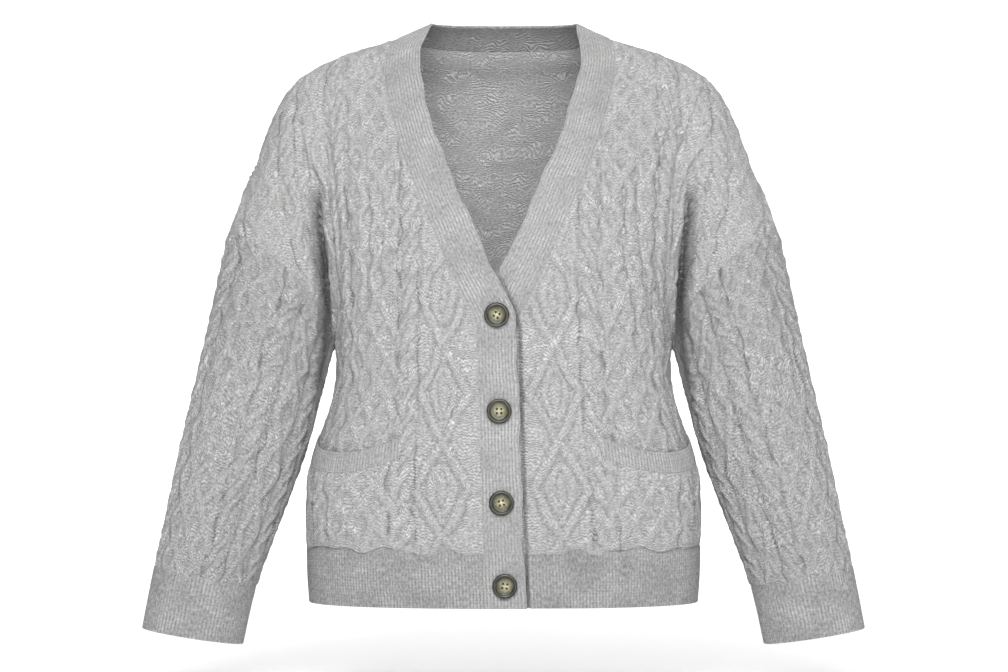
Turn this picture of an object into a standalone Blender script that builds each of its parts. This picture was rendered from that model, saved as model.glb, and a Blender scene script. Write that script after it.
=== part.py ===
"""Cable knit cardigan, worn shape: hollow knitted shell, lapped and buttoned at the front.

Frame: +Z up, the front faces -Y, the wearer's right is -X. The origin lies midway between the
points where the shoulder seams meet the neck. Sizes below are millimetres.

The garment is worked out on one half, in (q, z): q is the distance from the middle of the body
towards a side, and a side of -1 (wearer's right) or +1 (left) turns q into x. Rows run across the
knitting, columns run up it. Each piece is a wall: a fine outer grid that carries the raised cables
and ribs, and a plain inner grid.
"""
import math

import bmesh
import bpy
import numpy as np
from mathutils import Vector
from mathutils.geometry import tessellate_polygon

MM = 0.001
SIDES = (-1, 1)
NAMES = {-1: "right", 1: "left"}

# ---- walls and seams ----
WALL = 2.4
RIB_WALL = 2.5
SEAM_GAP = 0.3
CABLE_HEIGHT = 2.8
ROPE_HEIGHT = 3.0
RIB_HEIGHT = 1.1

# ---- levels ----
Z_UNDERARM = -321.0
Z_HEM_TOP = -524.0
Z_HEM = -577.0
LOWER_ROWS = 13
YOKE_ROWS = 20
HEM_ROWS = 2

# ---- band: its columns, the body rows it shares, and where its V edge starts and ends ----
BAND_COLUMNS = 10
STRAIGHT_ROWS = tuple(range(0, LOWER_ROWS, 2))
NECK_FIRST = HEM_ROWS + len(STRAIGHT_ROWS)
NECK_LAST = NECK_FIRST + YOKE_ROWS

# ---- body, one row for each level: z, half width, depth of front and back, middle of the closure ----
BODY = (
    (-577.0, 193.0, 117.0, 112.0, 2.4),
    (-548.0, 195.0, 119.0, 113.0, 1.0),
    (-524.0, 195.5, 119.5, 113.5, 0.0),
    (-480.0, 195.5, 120.0, 114.0, -1.8),
    (-455.0, 194.0, 120.0, 112.5, -2.4),
    (-430.0, 188.5, 119.0, 110.0, -2.9),
    (-400.0, 178.5, 117.5, 106.5, -3.8),
    (-370.0, 169.5, 116.5, 102.0, -4.7),
    (-345.0, 166.0, 116.5, 100.0, -5.6),
    (-321.0, 167.0, 117.0, 100.0, -6.2),
    (-290.0, 170.0, 118.0, 101.5, -6.6),
    (-250.0, 178.0, 118.5, 104.0, -6.6),
    (-207.0, 192.0, 117.0, 106.0, -6.3),
    (-150.0, 209.0, 112.5, 106.0, -5.9),
    (-100.0, 222.0, 107.5, 103.5, -5.2),
    (-50.0, 236.0, 104.0, 98.0, -4.0),
    (1.0, 245.0, 102.0, 94.0, 0.0),
)
BODY_ROUNDNESS = 2.3

# ---- shoulder line seen from the front, neck side to underarm side: q, z ----
SHOULDER = (
    (0.0, 6.0), (60.0, 3.0), (76.0, -1.0), (101.0, -13.5), (122.0, -20.0), (143.0, -26.0),
    (160.0, -32.0), (176.0, -38.5), (187.0, -44.0), (197.0, -50.5), (205.0, -57.0),
    (212.0, -64.0), (218.0, -72.0), (226.0, -88.0), (234.0, -106.0), (247.0, -142.0),
    (258.0, -168.0), (268.0, -191.0), (275.0, -209.0), (283.0, -250.0), (297.0, -321.0),
)
FRONT_DROP = 190.0
BACK_DROP_NECK = 72.0
BACK_DROP_ARM = 150.0
FRONT_TURN = 1.6
BACK_TURN = 1.8

# ---- upper arm inside the yoke: z, width of the arm seen from the front, half depth ----
ARM = (
    (-340.0, 132.0, 61.0), (-321.0, 130.0, 61.0), (-290.0, 128.0, 60.5), (-250.0, 121.0, 59.0),
    (-207.0, 112.0, 57.5), (-150.0, 100.0, 55.5), (-100.0, 92.0, 53.0), (-60.0, 85.0, 47.0),
    (-30.0, 66.0, 36.0), (-10.0, 40.0, 20.0), (5.0, 20.0, 8.0),
)

# ---- armhole seam: underarm point, end of the dropped shoulder, rise of the curve between them ----
UNDERARM = (168.0, -321.0)
SHOULDER_END = (275.0, -209.0)
ARMHOLE_RISE = 20.0

# ---- front edge: z of the free edge, its distance past the middle, and the way to the band seam ----
BAND_WIDTH = 39.0
EDGE = (
    (-577.0, 20.0, 39.5, 0.0), (-345.0, 19.6, 39.0, 0.0), (-316.0, 19.0, 38.8, -0.5),
    (-290.0, 17.0, 37.6, -8.0), (-273.0, 10.5, 35.5, -15.0), (-253.0, 0.0, 34.0, -18.0),
    (-225.0, -14.0, 34.6, -16.5), (-190.0, -29.0, 35.0, -15.0), (-158.0, -43.0, 35.0, -14.0),
    (-121.0, -58.5, 35.0, -12.0), (-90.0, -68.5, 35.0, -10.0), (-60.0, -76.5, 35.0, -7.0),
    (-35.0, -79.8, 34.5, -5.0), (-15.0, -78.8, 34.0, -7.0), (1.0, -73.0, 33.4, -16.2),
)
LAP_STEP = 4.3
LAP_NEAR = 46.0
LAP_FAR = 115.0
LAP_TOP = -150.0
LAP_FULL = -236.0

# ---- back neck: seam and free edge of the band ----
NECK_SEAM_Z = -22.0
NECK_EDGE_DEPTH = 50.0
NECK_EDGE_Z = 2.0
NECK_BULGE_BACK = 1.5
NECK_BULGE_UP = 2.0
NECK_COLUMNS = 8
SHOULDER_COLUMNS = 10
FRONT_COLUMNS = 20

# ---- sleeve below the armhole: inner q, z, outer q, z, half depth, rise of the front ----
SLEEVE = (
    (168.0, -321.0, 275.0, -209.0, 60.0, 20.0),
    (173.5, -336.0, 282.5, -244.0, 60.5, 17.0),
    (178.5, -354.0, 289.5, -277.0, 59.5, 12.0),
    (184.0, -375.0, 296.0, -308.0, 57.5, 8.0),
    (193.5, -412.0, 307.5, -359.0, 54.5, 4.0),
    (206.0, -450.0, 319.0, -408.0, 51.0, 2.0),
    (220.5, -489.0, 329.5, -457.0, 47.5, 0.0),
    (235.5, -528.0, 339.0, -504.0, 43.5, 0.0),
    (247.5, -561.0, 347.5, -543.0, 39.5, 0.0),
    (260.5, -618.5, 359.0, -603.0, 36.5, 0.0),
)
SLEEVE_FORWARD = 14.0
CUFF_PLACE = 8
SLEEVE_ROWS = 16
SEAM_SPACING = 0.35
CUFF_RIBS = 32
CUFF_ROWS = 2

# ---- soft folds in the fronts: side, column and row where they start and end, width, depth ----
FOLDS = (
    (-1, 9.0, 14.0, 15.0, 31.0, 1.6, -3.0), (-1, 13.0, 16.0, 18.0, 30.0, 1.4, -3.4),
    (1, 8.0, 15.0, 14.0, 31.0, 1.6, -3.2), (1, 12.5, 14.5, 17.5, 30.0, 1.4, -3.2),
    (-1, 14.0, 3.0, 17.0, 12.0, 2.2, -2.6), (1, 13.0, 2.0, 17.5, 11.0, 2.2, -2.4),
)

# ---- pockets: columns they span, levels, how far the mouth sags and gapes ----
POCKET_FIRST = 7
POCKET_LAST = 19
POCKET_CLEAR_ROW = 8
POCKET_BOTTOM = -521.5
POCKET_TOP = -410.0
POCKET_SAG = 17.0
POCKET_RIB = 19.5
POCKET_GAPE = 3.0
POCKET_BODY_GAPE = 2.4
POCKET_WALL = 2.2
POCKET_ROWS = 6
POCKET_RELIEF = 0.7
RIBS_PER_COLUMN = 3
SEAT = 0.5

# ---- buttons ----
BUTTON_LEVELS = (-291.5, -385.0, -474.0, -554.5)
BUTTON_PROFILE = ((10.6, 0.0), (12.2, 1.3), (11.6, 3.2), (10.0, 3.6), (8.2, 2.3))
BUTTON_SIDES = 20
HOLE_RADIUS = 1.0
HOLE_SIDES = 6
HOLE_PITCH = 4.0
BUTTON_SEAT = 0.35

# ---- charts: lattices as centre column, reach and start row, ropes as columns ----
FRONT_LATTICES = ((4, 3, 5), (12, 3, 2))
FRONT_ROPES = (8, 17)
BACK_LATTICES = ((0, 3, 0), (9, 3, 3))
BACK_ROPES = (5, 14)
SLEEVE_LATTICES = ((9, 3, 0),)
SLEEVE_ROPES = (0, 4, 14)
CROWDED = 4.0
OPEN = 9.0
BACK_RIBS = 56
FRONT_RIBS = 52

# ---- colours: base colour, roughness ----
WOOL = ((0.52, 0.52, 0.525), 0.95)
RIB_WOOL = ((0.48, 0.48, 0.485), 0.95)
HORN = ((0.24, 0.23, 0.17), 0.35)


# ---------------------------------------------------------------- curves and tables
def through(stations, values, at):
    """Value at a place on a smooth curve through a table's column, with no overshoot."""
    stations = np.asarray(stations, float)
    values = np.asarray(values, float)
    at = np.clip(np.asarray(at, float), stations[0], stations[-1])
    step = np.diff(stations)
    slope = np.diff(values) / step
    product = slope[:-1] * slope[1:]
    total = np.where(product > 0.0, slope[:-1] + slope[1:], 1.0)
    lean = np.concatenate(([slope[0]], np.where(product > 0.0, 2.0 * product / total, 0.0), [slope[-1]]))
    k = np.clip(np.searchsorted(stations, at, side="right") - 1, 0, len(step) - 1)
    t = (at - stations[k]) / step[k]
    start = values[k] * (1 + 2 * t) * (1 - t) ** 2 + lean[k] * step[k] * t * (1 - t) ** 2
    end = values[k + 1] * t * t * (3 - 2 * t) + lean[k + 1] * step[k] * t * t * (t - 1)
    return start + end


def column(table, key, at):
    """One column of a table, read at a value of its first column."""
    rows = sorted(table)
    return through([row[0] for row in rows], [row[key] for row in rows], at)


def smoothstep(low, high, x):
    t = np.clip((np.asarray(x, float) - low) / (high - low), 0.0, 1.0)
    return t * t * (3 - 2 * t)


def lengths(points):
    """Distance along a line of points, from 0."""
    run = np.linalg.norm(np.diff(points, axis=0), axis=1)
    return np.concatenate(([0.0], np.cumsum(run)))


def spread(points, fractions):
    """Points at given fractions of the length of a line of points."""
    run = lengths(points)
    at = np.asarray(fractions) * run[-1]
    return np.stack([np.interp(at, run, points[:, k]) for k in range(points.shape[1])], axis=-1)


def unit(v):
    return v / np.maximum(np.linalg.norm(v, axis=-1, keepdims=True), 1e-9)


# ---------------------------------------------------------------- the worn form
def ridge(q):
    """Height of the shoulder line at q."""
    return through([row[0] for row in SHOULDER], [row[1] for row in SHOULDER], q)


def arm_outside(z):
    """Outermost q of the shoulder and upper arm at a level."""
    rows = sorted((z_, q_) for q_, z_ in SHOULDER)
    return through([row[0] for row in rows], [row[1] for row in rows], z)


def rounding(t, power):
    """Depth gained from a ridge (t = 0) down to full depth (t = 1), as a share."""
    t = np.clip(t, 0.0, 1.0)
    return (1 - (1 - t) ** power) ** (1 / power)


def body_depth(q, z, key, drop, turn):
    """Depth of the torso's front (key 2) or back (key 3) at (q, z)."""
    half = column(BODY, 1, z)
    full = column(BODY, key, z)
    across = np.clip(np.abs(q) / half, 0.0, 1.0)
    bow = (1 - across ** BODY_ROUNDNESS) ** (1 / BODY_ROUNDNESS)
    return full * bow * rounding((ridge(np.abs(q)) - z) / drop, turn)


def arm_depth(q, z):
    """Depth of the upper arm, an upright tube beside the torso."""
    outside = arm_outside(z)
    width = column(ARM, 1, z)
    middle = outside - width / 2
    away = np.clip(np.abs(np.abs(q) - middle) / (width / 2), 0.0, 1.0)
    return column(ARM, 2, z) * np.sqrt(1 - away ** 2)


def blend(a, b):
    """The greater of two depths, rounded where they cross."""
    return (np.maximum(a, 0) ** 6 + np.maximum(b, 0) ** 6) ** (1 / 6)


def depth(q, z, back):
    if back:
        near_neck = smoothstep(20.0, 190.0, np.abs(q))
        drop = BACK_DROP_NECK + (BACK_DROP_ARM - BACK_DROP_NECK) * near_neck
        return blend(body_depth(q, z, 3, drop, BACK_TURN), arm_depth(q, z))
    return -blend(body_depth(q, z, 2, FRONT_DROP, FRONT_TURN), arm_depth(q, z))


def armhole(fraction):
    """Armhole seam in (q, z), from the underarm point (0) to the end of the shoulder (1)."""
    low = np.array(UNDERARM)
    high = np.array(SHOULDER_END)
    along = (high - low) / np.linalg.norm(high - low)
    inward = np.array((-along[1], along[0]))
    angle = np.pi * np.asarray(fraction)
    share = (1 - np.cos(angle)) / 2
    rise = ARMHOLE_RISE * np.sin(angle) ** 1.5
    return low + share[..., None] * (high - low) + rise[..., None] * inward


def lap(q_from_edge, z):
    """How far the under front lies behind the top one."""
    sideways = 1 - smoothstep(LAP_NEAR, LAP_FAR, q_from_edge)
    upward = 1 - smoothstep(LAP_FULL, LAP_TOP, z)
    return LAP_STEP * sideways * upward


# ---------------------------------------------------------------- front edge and band
def free_edge(side, level):
    """Free edge of a front's band in (q, z) at its own level."""
    middle = column(BODY, 4, level)
    return np.stack([side * middle - column(EDGE, 1, level), level], axis=-1)


def band_seam(side, level):
    """Seam between band and front, in (q, z), for the free edge's level."""
    edge = free_edge(side, level)
    return edge + np.stack([column(EDGE, 2, level), column(EDGE, 3, level)], axis=-1)


def seam_start(side, z):
    """q of the band seam on the straight part of a front."""
    return side * column(BODY, 4, z) - column(EDGE, 1, z) + column(EDGE, 2, z)


def yoke_levels(side, fractions):
    """Levels of the free edge whose seam points share out the yoke's front edge."""
    level = np.linspace(Z_UNDERARM - 30, EDGE[-1][0], 800)
    seam = band_seam(side, level)
    inside = seam[:, 1] >= Z_UNDERARM
    level = level[inside]
    run = lengths(seam[inside])
    return np.interp(np.asarray(fractions) * run[-1], run, level)


# ---------------------------------------------------------------- base grids (mm, in q)
def half_row(z, q_start, fractions, back):
    """A level row of the body, from q_start round to the side seam."""
    half = float(column(BODY, 1, z))
    full = float(column(BODY, 3 if back else 2, z))
    first = math.asin(min(1.0, max(0.0, q_start / half)) ** (BODY_ROUNDNESS / 2))
    turn = np.linspace(first, math.pi / 2, 240)
    q = half * np.sin(turn) ** (2 / BODY_ROUNDNESS)
    y = full * np.cos(turn) ** (2 / BODY_ROUNDNESS)
    y[-1] = 0.0
    line = np.stack([q, y if back else -y], axis=-1)
    row = spread(line, fractions)
    return np.stack([row[:, 0], row[:, 1], np.full(len(row), z)], axis=-1)


def patch(bottom, top, left, right, u, v):
    """Grid in (q, z) inside four edges (Coons patch)."""
    u = u[None, :, None]
    v = v[:, None, None]
    ruled_v = (1 - v) * bottom[None] + v * top[None]
    ruled_u = (1 - u) * left[:, None] + u * right[:, None]
    corners = ((1 - u) * (1 - v) * bottom[0] + u * (1 - v) * bottom[-1]
               + (1 - u) * v * top[0] + u * v * top[-1])
    return ruled_v + ruled_u - corners


def even_rows(edges, u, back, count):
    """Fractions up the yoke that give rows of even height on the worn form."""
    dense = np.linspace(0, 1, 161)
    bottom, top, left_of, right_of = edges
    grid = patch(bottom, top, left_of(dense), right_of(dense), u, dense)
    line = grid[:, len(u) // 2]
    points = np.stack([line[:, 0], depth(line[:, 0], line[:, 1], back), line[:, 1]], axis=-1)
    run = lengths(points)
    return np.interp(np.linspace(0, run[-1], count + 1), run, dense)


def settle(y, rounds=3):
    """Smooths depths inside a grid, its edges kept."""
    for _ in range(rounds):
        mean = (y[:-2, 1:-1] + y[2:, 1:-1] + y[1:-1, :-2] + y[1:-1, 2:]) / 4
        y[1:-1, 1:-1] = 0.5 * y[1:-1, 1:-1] + 0.5 * mean
    return y


def front_yoke_edges(side, u):
    bottom = half_row(Z_UNDERARM, float(seam_start(side, Z_UNDERARM)), u, False)[:, [0, 2]]
    neck_end = band_seam(side, np.array(EDGE[-1][0]))
    q = np.linspace(neck_end[0], SHOULDER_END[0], 200)
    top = spread(np.stack([q, ridge(q)], axis=-1), u)
    top[0] = neck_end
    top[-1] = SHOULDER_END

    def left_of(v):
        return band_seam(side, yoke_levels(side, v))

    return bottom, top, left_of, armhole


def back_yoke_edges(u):
    bottom = half_row(Z_UNDERARM, 0.0, u, True)[:, [0, 2]]
    neck_end = band_seam(-1, np.array(EDGE[-1][0]))
    neck = np.linspace(0, 1, NECK_COLUMNS + 1)
    neck_q = neck_end[0] * np.sin(neck * np.pi / 2) ** 0.9
    neck_z = NECK_SEAM_Z + (neck_end[1] - NECK_SEAM_Z) * (neck_q / neck_end[0]) ** 3
    q = np.linspace(neck_end[0], SHOULDER_END[0], 200)
    line = spread(np.stack([q, ridge(q)], axis=-1), np.linspace(0, 1, SHOULDER_COLUMNS + 1))
    top = np.concatenate([np.stack([neck_q, neck_z], axis=-1), line[1:]])
    top[-1] = SHOULDER_END

    def left_of(v):
        return np.stack([np.zeros(len(v)), Z_UNDERARM + v * (NECK_SEAM_Z - Z_UNDERARM)], axis=-1)

    return bottom, top, left_of, armhole


def lower_levels():
    return np.linspace(Z_HEM_TOP, Z_UNDERARM, LOWER_ROWS + 1)


def yoke_rows():
    """Fractions up the yoke, shared by fronts, back, sleeves and band."""
    u = np.linspace(0, 1, FRONT_COLUMNS + 1)
    return even_rows(front_yoke_edges(-1, u), u, False, YOKE_ROWS)


def front_grid(side):
    """Base grid of a front, hem rib's top up to the shoulder, band seam out to the side seam."""
    u = np.linspace(0, 1, FRONT_COLUMNS + 1)
    lower = [half_row(z, float(seam_start(side, z)), u, False) for z in lower_levels()[:-1]]
    rows = yoke_rows()
    bottom, top, left_of, right_of = front_yoke_edges(side, u)
    flat = patch(bottom, top, left_of(rows), right_of(rows), u, rows)
    y = depth(flat[..., 0], flat[..., 1], False)
    y[0] = half_row(Z_UNDERARM, float(seam_start(side, Z_UNDERARM)), u, False)[:, 1]
    y[-1] = 0.0
    y[0, -1] = 0.0
    yoke = np.stack([flat[..., 0], settle(y), flat[..., 1]], axis=-1)
    grid = np.concatenate([np.array(lower), yoke])
    if side > 0:
        away = grid[..., 0] - grid[:, :1, 0] + BAND_WIDTH
        grid[..., 1] += lap(away, grid[..., 2])
    return grid


def back_half_grid():
    u = np.linspace(0, 1, NECK_COLUMNS + SHOULDER_COLUMNS + 1)
    lower = [half_row(z, 0.0, u, True) for z in lower_levels()[:-1]]
    rows = yoke_rows()
    bottom, top, left_of, right_of = back_yoke_edges(u)
    flat = patch(bottom, top, left_of(rows), right_of(rows), u, rows)
    y = depth(flat[..., 0], flat[..., 1], True)
    y[0] = half_row(Z_UNDERARM, 0.0, u, True)[:, 1]
    y[-1, NECK_COLUMNS:] = 0.0
    y[0, -1] = 0.0
    mirrored = np.concatenate([y[:, :0:-1], y], axis=1)
    y = settle(mirrored, 8)[:, len(u) - 1:]
    yoke = np.stack([flat[..., 0], y, flat[..., 1]], axis=-1)
    return np.concatenate([np.array(lower), yoke])


def hem_grid(back, side, columns, q_start_of):
    levels = np.linspace(Z_HEM, Z_HEM_TOP, HEM_ROWS + 1)
    u = np.linspace(0, 1, columns + 1)
    grid = np.array([half_row(z, float(q_start_of(z)), u, back) for z in levels])
    if side > 0 and not back:
        away = grid[..., 0] - grid[:, :1, 0] + BAND_WIDTH
        grid[..., 1] += lap(away, grid[..., 2])
    return grid


def sleeve_row_points(place, angles):
    """Ring of the sleeve or cuff; place counts along the table's rows, angle 0 is outermost."""
    keys = range(len(SLEEVE))
    inner_q, inner_z, outer_q, outer_z, half, rise = (
        float(through(keys, [row[k] for row in SLEEVE], place)) for k in range(6))
    inner = np.array((inner_q, inner_z))
    outer = np.array((outer_q, outer_z))
    along = (outer - inner) / np.linalg.norm(outer - inner)
    inward = np.array((-along[1], along[0]))
    flat = ((inner + outer) / 2 + np.cos(angles)[:, None] * (outer - inner) / 2
            + rise * np.abs(np.sin(angles))[:, None] ** 1.5 * inward)
    forward = SLEEVE_FORWARD * smoothstep(1.0, CUFF_PLACE + 1.0, place)
    y = -half * np.sin(angles) - forward
    return np.stack([flat[:, 0], y, flat[:, 1]], axis=-1)


def armhole_ring():
    """Armhole seam all round: from the shoulder end down the front, and up the back."""
    rows = yoke_rows()
    flat = armhole(rows)
    front = np.stack([flat[:, 0], depth(flat[:, 0], flat[:, 1], False), flat[:, 1]], axis=-1)
    back = np.stack([flat[:, 0], depth(flat[:, 0], flat[:, 1], True), flat[:, 1]], axis=-1)
    for line in (front, back):
        line[0, 1] = 0.0
        line[-1, 1] = 0.0
    return np.concatenate([front[::-1], back[1:-1]])


def sleeve_grids():
    """Base grids of sleeve and cuff, from the armhole down; each ring closes on itself."""
    rows = yoke_rows()
    seam_turn = np.arccos(np.clip(2 * rows[::-1] - 1, -1, 1))
    turn = SEAM_SPACING * seam_turn + (1 - SEAM_SPACING) * np.linspace(0, np.pi, len(rows))
    even = np.linspace(0, 2 * np.pi, 2 * YOKE_ROWS, endpoint=False)
    first = np.concatenate([turn, 2 * np.pi - turn[::-1][1:-1]])
    rings = [armhole_ring()]
    places = np.linspace(0, CUFF_PLACE, SLEEVE_ROWS + 1)
    for place in places[1:]:
        share = smoothstep(0, 4, place)
        angles = first * (1 - share) + even * share
        ring = sleeve_row_points(place, angles)
        start = smoothstep(0.0, 2.0, place)
        ring[:, 1] = ring[:, 1] * start + rings[0][:, 1] * (1 - start)
        rings.append(ring)
    sleeve = np.array(rings)
    fine = np.linspace(0, 2 * np.pi, 2 * CUFF_RIBS, endpoint=False)
    cuff_places = np.linspace(CUFF_PLACE, CUFF_PLACE + 1, CUFF_ROWS + 1)
    cuff = np.array([sleeve_row_points(place, fine) for place in cuff_places])
    return sleeve, cuff


# ---------------------------------------------------------------- normals and walls
def outward(grid, turned, closed=False):
    """Unit normals of a grid; turned swaps their sense, closed joins last column to first."""
    if closed:
        across = np.roll(grid, -1, axis=1) - np.roll(grid, 1, axis=1)
    else:
        across = np.gradient(grid, axis=1)
    up = np.gradient(grid, axis=0)
    normal = unit(np.cross(across, up))
    return -normal if turned else normal


def flatten(normals, axis):
    """Normals laid into the plane square to an axis."""
    normals = normals.copy()
    normals[..., axis] = 0.0
    return unit(normals)


def pull_in(grid, edge, normals, closed=False):
    """Moves one edge of a grid back from its seam, square to the seam, by half the seam's gap."""
    here, inside = {
        "left": (np.s_[:, 0], np.s_[:, 1]), "right": (np.s_[:, -1], np.s_[:, -2]),
        "low": (np.s_[0], np.s_[1]), "high": (np.s_[-1], np.s_[-2])}[edge]
    line = grid[here]
    if closed:
        along = np.roll(line, -1, axis=0) - np.roll(line, 1, axis=0)
    else:
        along = np.gradient(line, axis=0)
    way = unit(np.cross(normals[here], along))
    way *= np.sign(np.sum(way * (grid[inside] - line), axis=-1, keepdims=True))
    grid[here] = line + way * SEAM_GAP / 2


def kept(count, stride, must=()):
    """Every few indexes from 0 to count, both ends and some others included."""
    return sorted(set(range(0, count + 1, stride)) | {count} | set(must))


def wall(name, grid, normals, relief, thick, rows, cols, material, closed=False):
    """Closed wall: outer grid raised by the relief, plain inner grid on the kept rows and cols."""
    outer = grid + normals * relief[..., None]
    inner = grid[np.ix_(rows, cols)] - normals[np.ix_(rows, cols)] * thick
    high, wide = grid.shape[:2]
    base = high * wide
    points = np.concatenate([outer.reshape(-1, 3), inner.reshape(-1, 3)])
    faces = []

    def out(i, j):
        return i * wide + j % wide

    def into(a, b):
        return base + a * len(cols) + b % len(cols)

    for i in range(high - 1):
        for j in range(wide if closed else wide - 1):
            nxt = (j + 1) % wide
            rising = relief[i, j] + relief[i + 1, nxt]
            falling = relief[i + 1, j] + relief[i, nxt]
            a, b, c, d = out(i, j), out(i, nxt), out(i + 1, nxt), out(i + 1, j)
            faces += [(a, b, c), (a, c, d)] if rising >= falling else [(a, b, d), (b, c, d)]
    for a in range(len(rows) - 1):
        for b in range(len(cols) if closed else len(cols) - 1):
            faces += [(into(a, b), into(a + 1, b + 1), into(a, b + 1)),
                      (into(a, b), into(a + 1, b), into(a + 1, b + 1))]

    def zip_edge(outside, inside, stops, reverse):
        for k in range(len(stops) - 1):
            middle = (stops[k] + stops[k + 1] + 1) // 2
            fan = [(outside(m), inside(k), outside(m + 1)) for m in range(stops[k], middle)]
            fan.append((outside(middle), inside(k), inside(k + 1)))
            fan += [(outside(m), inside(k + 1), outside(m + 1)) for m in range(middle, stops[k + 1])]
            faces.extend([f[::-1] for f in fan] if reverse else fan)

    col_stops = list(cols) + ([wide] if closed else [])
    last = len(rows) - 1
    zip_edge(lambda m: out(0, m), lambda k: into(0, k), col_stops, False)
    zip_edge(lambda m: out(high - 1, m), lambda k: into(last, k), col_stops, True)
    if not closed:
        end = len(cols) - 1
        zip_edge(lambda m: out(m, 0), lambda k: into(k, 0), list(rows), True)
        zip_edge(lambda m: out(m, wide - 1), lambda k: into(k, end), list(rows), False)
    return make_object(name, points, faces, material)


def make_object(name, points, faces, material):
    mesh = bpy.data.meshes.new(name)
    mesh.from_pydata([tuple(p * MM) for p in points], [], faces)
    form = bmesh.new()
    form.from_mesh(mesh)
    bmesh.ops.recalc_face_normals(form, faces=form.faces)
    form.to_mesh(mesh)
    form.free()
    mesh.materials.append(material)
    mesh.shade_smooth()
    mesh.set_sharp_from_angle(angle=math.radians(50))
    piece = bpy.data.objects.new(name, mesh)
    bpy.context.scene.collection.objects.link(piece)
    return piece


def make_material(name, look):
    material = bpy.data.materials.new(name)
    material.use_nodes = True
    shader = material.node_tree.nodes["Principled BSDF"]
    shader.inputs["Base Color"].default_value = (*look[0], 1.0)
    shader.inputs["Roughness"].default_value = look[1]
    return material


def to_world(grid, side):
    """Turns q into x."""
    grid = grid.copy()
    grid[..., 0] *= side
    return grid


# ---------------------------------------------------------------- raised knitting
def lattice(row, col, centre, reach):
    """1 on two ridges that travel out from a centre column and back, else 0."""
    phase = row % (2 * reach)
    offset = np.where(phase <= reach, phase, 2 * reach - phase)
    return (np.abs(np.abs(col - centre) - offset) < 0.5).astype(float)


def rope(row, col, place):
    """A twisted rope in one column: full height, lower on every other row."""
    return np.where(np.abs(col - place) < 0.5, np.where(row % 2 == 0, 1.0, 0.7), 0.0)


def panel_relief(rows, cols, lattices, ropes):
    """Height of the cables over a panel's grid; seams and edges stay plain."""
    row, col = np.meshgrid(np.arange(rows), cols, indexing="ij")
    height = np.zeros(row.shape)
    for centre, reach, start in lattices:
        height = np.maximum(height, CABLE_HEIGHT * lattice(row + start, col, centre, reach))
    for place in ropes:
        height = np.maximum(height, ROPE_HEIGHT * rope(row, col, place))
    return height


def ribs(rows, count):
    """1x1 rib: every other column raised."""
    return np.tile(RIB_HEIGHT * (np.arange(count) % 2), (rows, 1))


def room_for_relief(grid):
    """Share of the relief a grid has room for: all on open cloth, none where columns crowd."""
    step = np.linalg.norm(np.diff(grid, axis=1), axis=-1)
    nearest = np.minimum(np.pad(step, ((0, 0), (1, 0)), "edge"), np.pad(step, ((0, 0), (0, 1)), "edge"))
    return smoothstep(CROWDED, OPEN, nearest)


def plain_edges(height, edges):
    for edge in edges:
        height[{"left": np.s_[:, 0], "right": np.s_[:, -1], "low": np.s_[0], "high": np.s_[-1]}[edge]] = 0.0
    return height


def folds(side, rows, cols):
    """Soft troughs of the fronts, in their own columns and rows."""
    row, col = np.meshgrid(np.arange(rows, dtype=float), np.arange(cols, dtype=float), indexing="ij")
    total = np.zeros(row.shape)
    for at_side, col0, row0, col1, row1, width, deep in FOLDS:
        if at_side == side:
            run = np.array((col1 - col0, row1 - row0))
            t = ((col - col0) * run[0] + (row - row0) * run[1]) / (run @ run)
            away = np.abs((col - col0) * run[1] - (row - row0) * run[0]) / np.linalg.norm(run)
            ends = smoothstep(-0.1, 0.25, t) * (1 - smoothstep(0.75, 1.1, t))
            total += deep * np.exp(-(away / width) ** 2) * ends
    return total


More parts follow.
